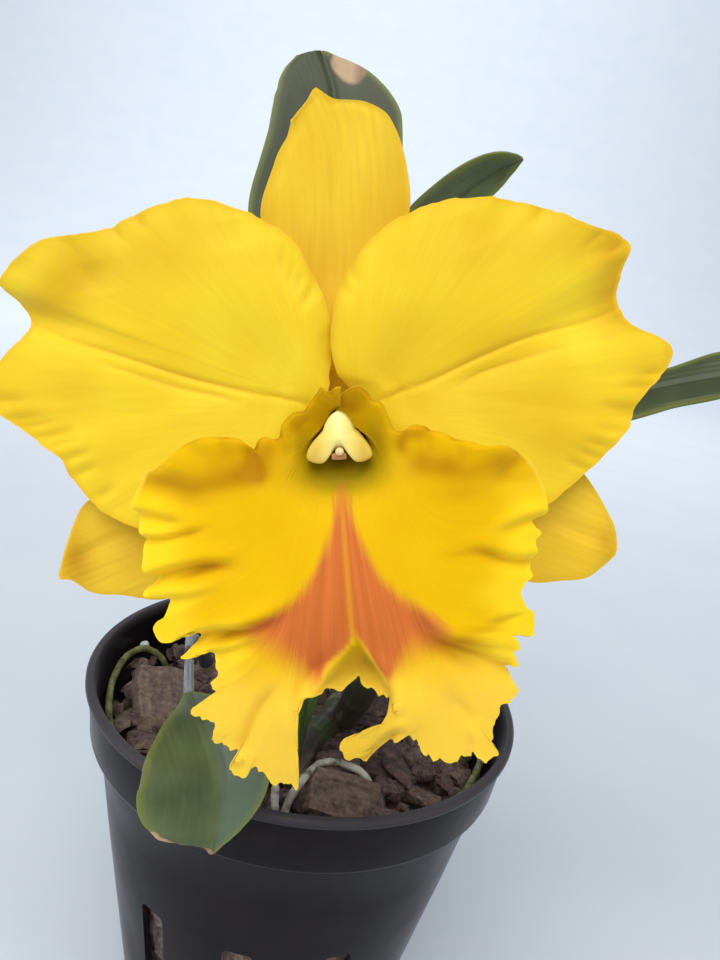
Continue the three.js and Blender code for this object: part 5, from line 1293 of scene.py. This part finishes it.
for bulb_name, (bulb_line, covered, seed, stain) in BULBS.items():
    def ribbed(u, w, covered=covered, seed=seed):
        """Nine ribs that fade towards both ends, four joints, and the thickness of the dry skin."""
        furrow = 0.3 * np.cos(2 * math.pi * 9 * u + 2 * wobble(u, 0.13, seed, True))
        furrow *= ease(w, 0.1, 0.4) * ease(w, 1, 0.75)
        joint = sum(0.35 * np.exp(-((w - place) / 0.012) ** 2) for place in (0.12, 0.34, 0.62, 0.93))
        skin = 0.28 * ease(w, covered + 0.012, covered) * (1 + 0.5 * wobble(u, 0.05, seed + 9, True))
        return furrow + joint + skin

    def wrapped(u, v, covered=covered, seed=seed, stain=stain):
        """The marks of the dry skin with its ragged upper edge, and of the dark foot, which is painted
        shade.
        """
        ragged = covered + 0.05 * wobble(u, 0.07, seed, True) + 0.03 * wobble(u, 0.02, seed + 1, True)
        return {"film": ease(v, ragged + 0.02, ragged - 0.02), "stained": stain * ease(v, 0.36, 0.2)}

    radii = LEAD_RADII if bulb_name == "pseudobulb_lead" else BULB_RADII
    stem(bulb_name, "bulb", stem_skin, bulb_line, radii, 90, 110, ribbed, wrapped)

# %% Creeping stem, flower stalk and ovary
RHIZOME = ([(-8, 50, 114), (2, 36, 117), (14, 18, 117), (12, -2, 117), (5, -22, 117), (3, -40, 114)],
           [(0, 3.2), (0.12, 4.6), (0.85, 4.6), (1, 3)])
STALK = ([(0.6, -14.3, 192.6), (0.6, -14.6, 198), (0.5, -20, 207), (0, -33, 219.5), (-1, -47, 229)],
         [(0, 2.1), (1, 2.1)])
OVARY = ([(-1.1, -47.6, 229.6), (-1.2, -53, 234), (-1.1, -60.4, 237.3)],
         [(0, 2.1), (0.4, 3.2), (0.85, 3.4), (1, 6.4)])
stem("rhizome", "rhizome", stem_skin, *RHIZOME, 48, 120,
     lambda u, w: (0.35 * np.maximum(0, np.cos(2 * math.pi * 9 * w)) ** 6  # nine rings
                   + 0.1 * np.cos(2 * math.pi * 7 * u)),
     lambda u, v: {"film": 0.5 + 0.5 * wobble(v, 0.06, 55),
                   "stained": 0.75 * ease(v, 0.4, 0.6) * (1 - 0.4 * wobble(v, 0.05, 56))})
stem("flower_stem", "stalk", stem_skin, *STALK, 40, 90,
     lambda u, w: 0.06 * np.cos(2 * math.pi * 6 * u) + 0.2 * np.exp(-((w - 0.55) / 0.02) ** 2))
stem("ovary", "stalk", stem_skin, *OVARY, 60, 60,
     lambda u, w: 0.3 * np.cos(2 * math.pi * 6 * u) * ease(w, 0.1, 0.5) * ease(w, 1, 0.8))

# %% [markdown]
# ## Cane and sheath
# The small plant beside has a thin cane in a pale, dry sleeve that has split at one dark joint. At
# the foot of the flower stalk a papery sheath stands open, with a torn upper edge.

# %% Cane
CANE = ([(-36, 26, 104), (-41, 14, 124), (-41, -9, 141), (-35, -38, 148), (-30.2, -57.6, 150)],
        [(0, 2.6), (0.3, 2.4), (0.6, 1.6), (0.7, 1.5), (0.735, 1.9), (0.77, 1.5), (1, 1.5)])
dry_cane = new_finish("dry_cane_sleeve", 1.45, 0.6)  # dead tissue full of air, so it looks blue-grey
cane_share = add(dry_cane, "Attribute", {"attribute_name": "share"})["Fac"]
cane_fibre = fibres(dry_cane, 0.1, 1.6, Detail=4.0)  # 0.6 mm
cane_sleeve = add(dry_cane, "ValToRGB", {"stops": [(0.35, "#7E858A"), (0.65, "#B4BBBE")]},
                  Fac=cane_fibre)["Color"]
CANE_DARK = [(0.0, 1.0), (0.3, 0.6), (0.42, 0.0), (0.66, 0.0), (0.7, 1.0), (0.77, 1.0), (0.8, 0.0),
             (1.0, 0.15)]
cane_joint = add(dry_cane, "ValToRGB", {"stops": CANE_DARK}, Fac=cane_share)["Color"]
cane_tone = add(dry_cane, "Mix", {"data_type": "RGBA", 7: "#2E2B2C"}, i0=cane_joint, i6=cane_sleeve)[2]
cane_bump = add(dry_cane, "Bump", {"Strength": 0.5, "Distance": 0.0003}, Height=cane_fibre)["Normal"]
wire(dry_cane, Base_Color=cane_tone, Normal=cane_bump)
stem("cane", "cane", dry_cane, *CANE, 36, 160,
     lambda u, w: 0.05 * np.cos(2 * math.pi * 8 * u) + 0.15 * np.exp(-((w - 0.45) / 0.008) ** 2))

# %% Papery sheath
SHEATH_HEIGHT = 20
stalk_length = even_line(STALK[0], [1])[1]
columns, rows = 90, 40
u, v = shares(columns, rows)
ragged = SHEATH_HEIGHT * (1 - 0.16 * (wobble(u, 0.09, 61, True) + 0.6 * wobble(u, 0.03, 62, True)) - 0.16)
share = v * ragged / stalk_length
flare = [(0, 2.8), (0.5, 3.1), (1, 4.1)]
centre, _ = even_line(STALK[0], share)
nearby, _ = even_line(STALK[0], share + 0.002)
ahead = unit(nearby - centre)
side = unit(np.array([1.0, 0, 0]) - ahead * ahead[:, :1])
places = centre + ring(ahead, side, u, through(flare, v) + 0.12 * np.cos(2 * math.pi * 5 * u) * v)
places += ease(v, 0.2, 0)[:, None] * np.array([-0.4, 1.4, -2.6])  # its foot clasps the swollen stem
marks = {"across": np.abs(2 * u - 1) * 9, "along": v * SHEATH_HEIGHT}
sheath = grid_piece("flower_sheath_paper", columns, rows, places, marks)
thicken(sheath, 0.4)

# %% Sheath paper
# Dead and dry like thin paper: matt, streaked along its fibres, and a little light comes through.
dry_sheath = new_finish("papery_sheath", 1.4, 0.55, Subsurface_Weight=0.1, Subsurface_Scale=0.0006)
sheath_fibre = fibres(dry_sheath, 0.08, 1.8, Detail=4.0)  # 0.5 mm
sheath_tone = add(dry_sheath, "ValToRGB", {"stops": [(0.35, "#9C7E48"), (0.65, "#D9C692")]},
                  Fac=sheath_fibre)["Color"]
sheath_bump = add(dry_sheath, "Bump", {"Strength": 0.4, "Distance": 0.0002}, Height=sheath_fibre)["Normal"]
wire(dry_sheath, Base_Color=sheath_tone, Normal=sheath_bump)
finished(sheath, dry_sheath, "flower_sheath")

# %% [markdown]
# ## Roots and the fertiliser bead
# Orchid roots wear a spongy white coat that turns green where it is wet. They arch out of the bark
# and dive back in. The one coated bead of slow fertiliser is glossy and nearly white.

# %% Root coats
def root_coat(name, dark, pale, stain):
    """The dry sponge of a root: air in it makes it matt and pale. It is mottled and felted."""
    finish = new_finish(name, 1.45, 0.85)
    place = add(finish, "TexCoord")["Object"]
    mottle = add(finish, "TexNoise", {"Scale": 260.0, "Detail": 5.0, "Roughness": 0.6}, Vector=place)["Fac"]
    felt = add(finish, "TexNoise", {"Scale": 1800.0, "Detail": 2.0}, Vector=place)["Fac"]  # 0.6 mm
    tone = add(finish, "ValToRGB", {"stops": [(0.36, stain), (0.46, dark), (0.62, pale)]},
               Fac=mottle)["Color"]
    bump = add(finish, "Bump", {"Strength": 0.5, "Distance": 0.0003}, Height=felt)["Normal"]
    wire(finish, Base_Color=tone, Normal=bump)
    return finish


COATS = {
    "root_white": root_coat("dry_white_root", "#A8A498", "#D2CFC2", "#6B5F52"),
    "root_green": root_coat("moist_green_root", "#656A3C", "#8A8C60", "#4A4630"),
}
ROOTS = {  # line, radius, coat
    "root_left_wall": ([(-51, -34, 104), (-59, -30.5, 116), (-64.6, -17, 119.5), (-66.6, -5, 121),
                        (-66, 6, 122), (-62, 14, 121), (-56, 17, 116), (-52, 18, 104)], 1.15, "root_green"),
    "root_right_wall": ([(61, 1, 104), (64.5, -7, 117), (63.2, -19, 121.5), (59, -32, 122.5),
                         (56, -38, 121.5), (46, -38, 104)], 1.05, "root_green"),
    "root_front": ([(1, -56, 104), (2.6, -52.4, 118), (5, -47, 120.8), (9.5, -37, 121),
                    (13, -34.5, 121), (17.6, -34, 120.8), (24, -35.4, 119.6), (27.4, -38.4, 116),
                    (29, -40, 104)], 1.2, "root_white"),
    "root_stub": ([(-3, -44, 104), (-2, -47.5, 117), (-2, -53, 121.4), (-1, -59, 120), (1, -62, 104)],
                  1.15, "root_white"),
}
for seed, (root_name, (root_line, radius, coat)) in enumerate(ROOTS.items(), 71):
    stem(root_name, coat, COATS[coat], root_line, [(0, radius), (1, radius)], 28, 150,
         lambda u, w, seed=seed: 0.1 * wobble(w, 0.02, seed) + 0.06 * wobble(u, 0.12, seed, True))

# %% Bead
BEAD_PLACE, BEAD_RADIUS = (-64.2, 19.6, 119), 1.8
nothing_selected()
bpy.ops.mesh.primitive_uv_sphere_add(segments=36, ring_count=24, radius=BEAD_RADIUS * MM,
                                     location=[c * MM for c in BEAD_PLACE])
bead = bpy.context.object
bead.name = "fertiliser_bead_coat"
bpy.ops.object.transform_apply(location=True, rotation=True, scale=True)
bead_at = np.array([v.co for v in bead.data.vertices])
bead_middle = bead_at.mean(0)
bead_at = bead_middle + (bead_at - bead_middle) * (1 + 0.05 * np.sin((bead_at - bead_middle)[:, :1] * 2500))
bead.data.vertices.foreach_set("co", bead_at.ravel())
bead_coat = new_finish("resin_coated_bead", 1.5, 0.22)  # a thin hard resin coat, so it shines
bead_place = add(bead_coat, "TexCoord")["Object"]
bead_noise = add(bead_coat, "TexNoise", {"Scale": 800.0, "Detail": 2.0}, Vector=bead_place)["Fac"]
bead_tone = add(bead_coat, "ValToRGB", {"stops": [(0.3, "#C9D2DC"), (0.7, "#F2F5F8")]},
                Fac=bead_noise)["Color"]
wire(bead_coat, Base_Color=bead_tone)
finished(bead, bead_coat, "fertiliser_bead")

# %% [markdown]
# ## Bark mix
# The pot is filled with chopped fir bark. One chip is modelled: a cube, cut twice each way. It is
# copied a few hundred times, and each copy is stretched, its corners are pulled in, and it is laid
# down turned at random. Roots keep a little room. A ragged core fills what lies below the chips.

# %% One chip
nothing_selected()
bpy.ops.mesh.primitive_cube_add(size=1, calc_uvs=True)
chip = bpy.context.object
chip.name = "bark_chip"
bpy.ops.object.mode_set(mode="EDIT")
bpy.ops.mesh.select_all(action="SELECT")
bpy.ops.mesh.subdivide(number_cuts=2)
bpy.ops.object.mode_set(mode="OBJECT")
chip_shape = np.array([v.co for v in chip.data.vertices])
square = 4 * np.roll(chip_shape, -1, axis=1) ** 2, 4 * np.roll(chip_shape, -2, axis=1) ** 2
# The cube blown up to a ball. A chip is half way between the two.
chip_ball = chip_shape * np.sqrt(1 - square[0] / 2 - square[1] / 2 + square[0] * square[1] / 3)
print("one chip:", len(chip.data.polygons), "faces")

# %% Room for the chips
# The inside of the pot in mm: its wall's radius at the base and at the step, the step's height, the
# radius inside the collar above the step, and how high a chip may reach.
BASE_INSIDE, STEP_INSIDE, STEP_HEIGHT, COLLAR_INSIDE, CHIP_CEILING = 48.4, 67.2, 108, 69.3, 126
BARK_LAYER = 2.2  # mm: bark breaks along layers that are so thick
SLOT_BEARINGS = [side + step for side in (266, 26, 146) for step in (-29, 0, 29)]


def inside_radius(z):
    """The inside of the pot's wall at a height."""
    return BASE_INSIDE + (STEP_INSIDE - BASE_INSIDE) * np.clip(np.asarray(z) / STEP_HEIGHT, 0, 1)


print("the heap is", round(2 * COLLAR_INSIDE), "mm across")


# %% Lay a chip
def lay_chip(random, size, place, turn):
    """A copy of the chip with its own mesh, size, corners, place and turn in mm."""
    copy = chip.copy()
    copy.data = chip.data.copy()
    bpy.context.collection.objects.link(copy)
    corner = 1 - random.random((2, 2, 2, 3)) * np.minimum(0.55, 6.5 / np.array(size))
    share = chip_shape + 0.5
    pull = np.zeros_like(chip_shape)
    for ends in np.ndindex(2, 2, 2):
        weight = np.prod([share[:, k] if end else 1 - share[:, k] for k, end in enumerate(ends)], 0)
        pull += weight[:, None] * corner[ends]
    at = (0.5 * chip_shape + 0.5 * chip_ball) * pull * size
    layer = at[:, 2] / BARK_LAYER
    at[:, 2] += 0.5 * (np.round(layer + 0.3 * random.random(len(at))) - layer)
    at += random.normal(0, 0.3, at.shape)
    a, b, c = turn
    spin = np.array(Matrix.Rotation(c, 3, "Z") @ Matrix.Rotation(b, 3, "Y") @ Matrix.Rotation(a, 3, "X"))
    at = at @ spin.T + place
    reach = np.hypot(at[:, 0], at[:, 1])
    room = np.where(at[:, 2] > STEP_HEIGHT + 3, COLLAR_INSIDE, inside_radius(at[:, 2]) - 0.5)
    at[:, :2] *= np.minimum(1, room / np.maximum(reach, 1e-6))[:, None]
    at[:, 2] = np.minimum(at[:, 2], CHIP_CEILING)
    copy.data.vertices.foreach_set("co", (at * MM).ravel())
    tone = copy.data.attributes.new("tone", "FLOAT", "POINT")
    shade_under_flower = patches(at, [(14, -21, 17, 16, 1.1)])  # painted shade under the flower, round the stems' feet
    tone.data.foreach_set("value", random.random() - shade_under_flower)
    return copy


# %% Chips
random = np.random.default_rng(20)
chips = [
    lay_chip(random, (34, 24, 10), (-49, -8, 115), (0.1, -0.22, 1.9)),
    lay_chip(random, (31, 20, 14), (19, -44, 115), (0.42, 0.16, 0.15)),
    lay_chip(random, (24, 13, 8), (30, -48, 114), (0.2, 0.35, 2.2)),
    lay_chip(random, (10, 7, 6), (8.5, -10, 119), (0.2, 0.1, 0.2)),
    lay_chip(random, (20, 13, 12), (16, -28, 116), (0.3, 0.2, 0.5)),
]
for k in range(4):  # the first four are the palest, each a little darker than the one before
    chips[k].data.attributes["tone"].data.foreach_set("value", [0.95 - 0.2 * k] * len(chip_shape))
root_points = np.vstack([even_line(line, np.linspace(0, 1, 30))[0] for line, _, _ in ROOTS.values()]
                        + [[BEAD_PLACE]])
CHIP_COUNT, BIG_COUNT, SPREAD = 300, 115, 66  # the loose chips, how many are big, and the heap's radius
for k in range(CHIP_COUNT):  # two layers of a sunflower's pattern, so that they lie evenly
    big = k < BIG_COUNT
    reach = SPREAD * math.sqrt((k % (CHIP_COUNT / 2) + 0.5) / (CHIP_COUNT / 2))
    bearing = k * math.pi * (3 - math.sqrt(5))
    least, spread = ((13, 9, 4.5), (13, 7, 4)) if big else ((5, 4, 2.5), (8, 5, 3))
    size = np.array(least) + random.random(3) * spread
    height = 109 + 5 * random.random() + (0 if big else 2)
    place = np.array([reach * math.cos(bearing), reach * math.sin(bearing), height])
    turn = (0.9 * (random.random() - 0.5), 0.9 * (random.random() - 0.5), math.pi * random.random())
    gap = np.linalg.norm(root_points - place, axis=1).min()
    if gap > size[0] * 0.35 + 2.5:
        chips.append(lay_chip(random, size, place, turn))
for compass in SLOT_BEARINGS:  # and some behind each slot of the pot
    for z in (36, 45, 54, 63, 72):
        turned = rad(compass + 4 * (random.random() - 0.5))
        reach = float(inside_radius(z)) - 5
        size = np.array([6, 14, 8]) + random.random(3) * (2, 6, 4)
        place = (reach * math.cos(turned), reach * math.sin(turned), z)
        chips.append(lay_chip(random, size, place, (0.5 * random.random(), 0, turned)))
print(len(chips), "chips laid")

# %% Core of the mix and joining
columns, rows = 90, 60
u, v = shares(columns, rows)
angle = u * 2 * math.pi
z = 2.4 + 104 * np.clip(v / 0.7, 0, 1)
radius = (inside_radius(z) - 1.2) * np.clip(v / 0.02, 0, 1) * np.where(v > 0.7, (1 - v) / 0.3, 1)
lumps = 2.6 * (wobble(u, 0.03, 81, True) * wobble(v, 0.05, 82) - 0.8)
lumps *= np.clip((1 - v) / 0.1, 0, 1) * (v > 0.02)  # none at the two ends
z += 3 * (v > 0.7) * (v - 0.7)  # its top is a low heap
core_at = np.column_stack([(radius + lumps) * np.cos(angle), (radius + lumps) * np.sin(angle), z])
core = grid_piece("bark_mix_chips", columns, rows, core_at, {"tone": 0.2 + 0 * u}, rolled=True)
select_only(core, *chips)
bpy.ops.object.join()
bpy.data.objects.remove(chip)
print(core.name, len(core.data.polygons), "faces")

# %% Bark finish
fir_bark = new_finish("chopped_fir_bark", 1.45, 0.8)  # corky and rough, with a dull shine when moist
bark_place = add(fir_bark, "TexCoord")["Object"]
bark_uv = add(fir_bark, "TexCoord")["UV"]
bark_tone = add(fir_bark, "Attribute", {"attribute_name": "tone"})["Fac"]
layer_turn = add(fir_bark, "Mapping", {"Scale": (2.0, 26.0, 1.0)}, Vector=bark_uv)[0]
layers = add(fir_bark, "TexNoise", {"Scale": 1.0, "Detail": 4.0, "Distortion": 0.6},
             Vector=layer_turn)["Fac"]
crumbs = add(fir_bark, "TexNoise", {"Scale": 420.0, "Detail": 5.0, "Roughness": 0.65},  # 2 mm
             Vector=bark_place)["Fac"]
blend = add(fir_bark, "Math", {"operation": "MULTIPLY_ADD", 1: 0.5}, i0=layers, i2=crumbs)[0]
dark_bark, pale_bark = (
    add(fir_bark, "ValToRGB", {"stops": list(zip((0.5, 0.78, 0.95), tones))}, Fac=blend)["Color"]
    for tones in (("#3E3132", "#78625F", "#8E7973"), ("#54453F", "#877468", "#A08C7A")))
bark_age = add(fir_bark, "MapRange", {"From Min": 0.45, "From Max": 1.0}, Value=bark_tone)[0]
bark_colour = add(fir_bark, "Mix", {"data_type": "RGBA"}, i0=bark_age, i6=dark_bark, i7=pale_bark)[2]
# Painted shade: chips whose tone falls low, mostly those under the flower, are mixed towards near black.
bark_painted_shade = add(fir_bark, "MapRange", {"From Min": 0.1, "From Max": -0.7, "To Max": 0.75},
                Value=bark_tone)[0]
bark_colour = add(fir_bark, "Mix", {"data_type": "RGBA", 7: "#1D1719"}, i0=bark_painted_shade, i6=bark_colour)[2]
bark_bump = add(fir_bark, "Bump", {"Strength": 0.8, "Distance": 0.0012}, Height=blend)["Normal"]
wire(fir_bark, Base_Color=bark_colour, Normal=bark_bump)
finished(core, fir_bark, "bark_mix", angle=38)

# %% [markdown]
# ## The pot
# A moulded plastic pot is a turned form, so its wall is drawn once as a chain of points from the
# middle of the base, up outside, over the rolled rim and down inside. One vertex is extruded along
# that chain, and Spin sweeps it round. Booleans cut the side slots and the drain holes.

# %% Pot wall
POT_PROFILE = [  # radius and height in mm
    (0, 0), (24, 0), (44, 0), (48.2, 0), (49.2, 0.3), (49.8, 0.8), (50, 1.6),
    (52.4, 15), (54.9, 29), (55.8, 34), (61.9, 68), (62.8, 73), (65.6, 90),
    (68.8, 108.2), (69.4, 109.1), (71.2, 109.9), (71.9, 110.5), (72.2, 111.4),
    (73.6, 126.6), (74.1, 127), (74.7, 127.4), (75, 128), (75, 129), (74.75, 129.6), (74.2, 130),
    (73.4, 130), (72.5, 129.9), (72, 129.4), (71.8, 128.7), (71.3, 126.2), (70.6, 113.2),
    (69.9, 111.6), (67.4, 109.2), (67.2, 107.8), (63.9, 90), (60.9, 73), (60, 68), (53.9, 34),
    (53, 29), (50.5, 15), (48.6, 3.2), (47.6, 2.2), (46, 2), (24, 2), (0, 2),
]
nothing_selected()
bpy.ops.mesh.primitive_plane_add(size=0.001)
pot = bpy.context.object
pot.name = "pot_moulding"
bpy.ops.object.mode_set(mode="EDIT")
bpy.ops.mesh.select_mode(type="VERT")
bpy.ops.mesh.merge(type="CENTER")  # one vertex, in the middle of the base
for (x0, z0), (x1, z1) in zip(POT_PROFILE, POT_PROFILE[1:]):
    step = ((x1 - x0) * MM, 0, (z1 - z0) * MM)
    bpy.ops.mesh.extrude_region_move(TRANSFORM_OT_translate={"value": step})
bpy.ops.mesh.select_all(action="SELECT")
bpy.ops.mesh.spin(steps=144, angle=2 * math.pi, center=(0, 0, 0), axis=(0, 0, 1))
bpy.ops.mesh.select_all(action="SELECT")
bpy.ops.mesh.remove_doubles(threshold=1e-5)
bpy.ops.mesh.normals_make_consistent(inside=False)
bpy.ops.object.mode_set(mode="OBJECT")

# %% Slots and drain holes
SLOT_SIZE, SLOT_MIDDLE, SLOT_ROUNDING = (0.03, 0.0095, 0.036), (0.057, 0.051), 0.002  # metres
HOLE_RADIUS, HOLE_RING, HOLE_COUNT = 0.004, 0.03, 6
cutters = []
for compass in SLOT_BEARINGS:
    turned = rad(compass)
    out, height = SLOT_MIDDLE
    nothing_selected()
    bpy.ops.mesh.primitive_cube_add(size=1, rotation=(0, 0, turned),
                                    location=(out * math.cos(turned), out * math.sin(turned), height))
    cutter = bpy.context.object
    cutter.scale = SLOT_SIZE
    bpy.ops.object.transform_apply(location=False, rotation=False, scale=True)
    for edge in cutter.data.edges:
        a, b = (cutter.data.vertices[i].co for i in edge.vertices)
        edge.select = abs(a.x - b.x) > 0.01  # the four edges that pass through the wall
    bpy.ops.object.mode_set(mode="EDIT")
    bpy.ops.mesh.select_mode(type="EDGE")
    bpy.ops.mesh.bevel(offset=SLOT_ROUNDING, segments=5)
    bpy.ops.object.mode_set(mode="OBJECT")
    cutters.append(cutter)
for k in range(HOLE_COUNT):
    turned = rad(360 / HOLE_COUNT * (k + 0.5))
    hole_place = (HOLE_RING * math.cos(turned), HOLE_RING * math.sin(turned), 0)
    nothing_selected()
    bpy.ops.mesh.primitive_cylinder_add(vertices=32, radius=HOLE_RADIUS, depth=0.01, location=hole_place)
    cutters.append(bpy.context.object)
print(len(cutters), "openings cut")
select_only(*cutters)
bpy.ops.object.join()

# %% Cut the pot
select_only(pot)
bpy.ops.object.modifier_add(type="BOOLEAN")
pot.modifiers[-1].operation, pot.modifiers[-1].object = "DIFFERENCE", cutters[0]
bpy.ops.object.modifier_apply(modifier=pot.modifiers[-1].name)
bpy.data.objects.remove(cutters[0])
print(pot.name, len(pot.data.polygons), "faces after the cuts")

# %% Pot plastic
# Moulded glossy and dulled by handling. The sheen is fine dust, which shows along the pot's sides.
pot_plastic = new_finish("black_polypropylene", 1.49, 0.36, Specular_IOR_Level=0.09,
                         Sheen_Weight=0.3, Sheen_Roughness=0.25, Sheen_Tint=linear("#C4CAD6"))
pot_place = add(pot_plastic, "TexCoord")["Object"]
pot_dust = add(pot_plastic, "TexNoise", {"Scale": 45.0, "Detail": 6.0, "Roughness": 0.6},
               Vector=pot_place)["Fac"]
pot_grain = add(pot_plastic, "TexNoise", {"Scale": 1600.0, "Detail": 1.0},  # 0.6 mm
                Vector=pot_place)["Fac"]
pot_tone = add(pot_plastic, "ValToRGB", {"stops": [(0.35, "#130E11"), (0.7, "#211B1E")]},
               Fac=pot_dust)["Color"]
pot_height = add(pot_plastic, "SeparateXYZ", Vector=pot_place)["Z"]
worn = add(pot_plastic, "MapRange", {"From Min": 0.1262, "From Max": 0.1295, "To Max": 0.42},
           Value=pot_height)[0]  # painted light: the top of the rim is painted paler, as lit from above
pot_tone = add(pot_plastic, "Mix", {"data_type": "RGBA", 7: "#6A666A"}, i0=worn, i6=pot_tone)[2]
pot_rough = add(pot_plastic, "MapRange", {"From Min": 0.3, "From Max": 0.7, "To Min": 0.3, "To Max": 0.46},
                Value=pot_dust)[0]
pot_bump = add(pot_plastic, "Bump", {"Strength": 0.08, "Distance": 0.0002}, Height=pot_grain)["Normal"]
wire(pot_plastic, Base_Color=pot_tone, Roughness=pot_rough, Normal=pot_bump)
finished(pot, pot_plastic, "pot", angle=32)
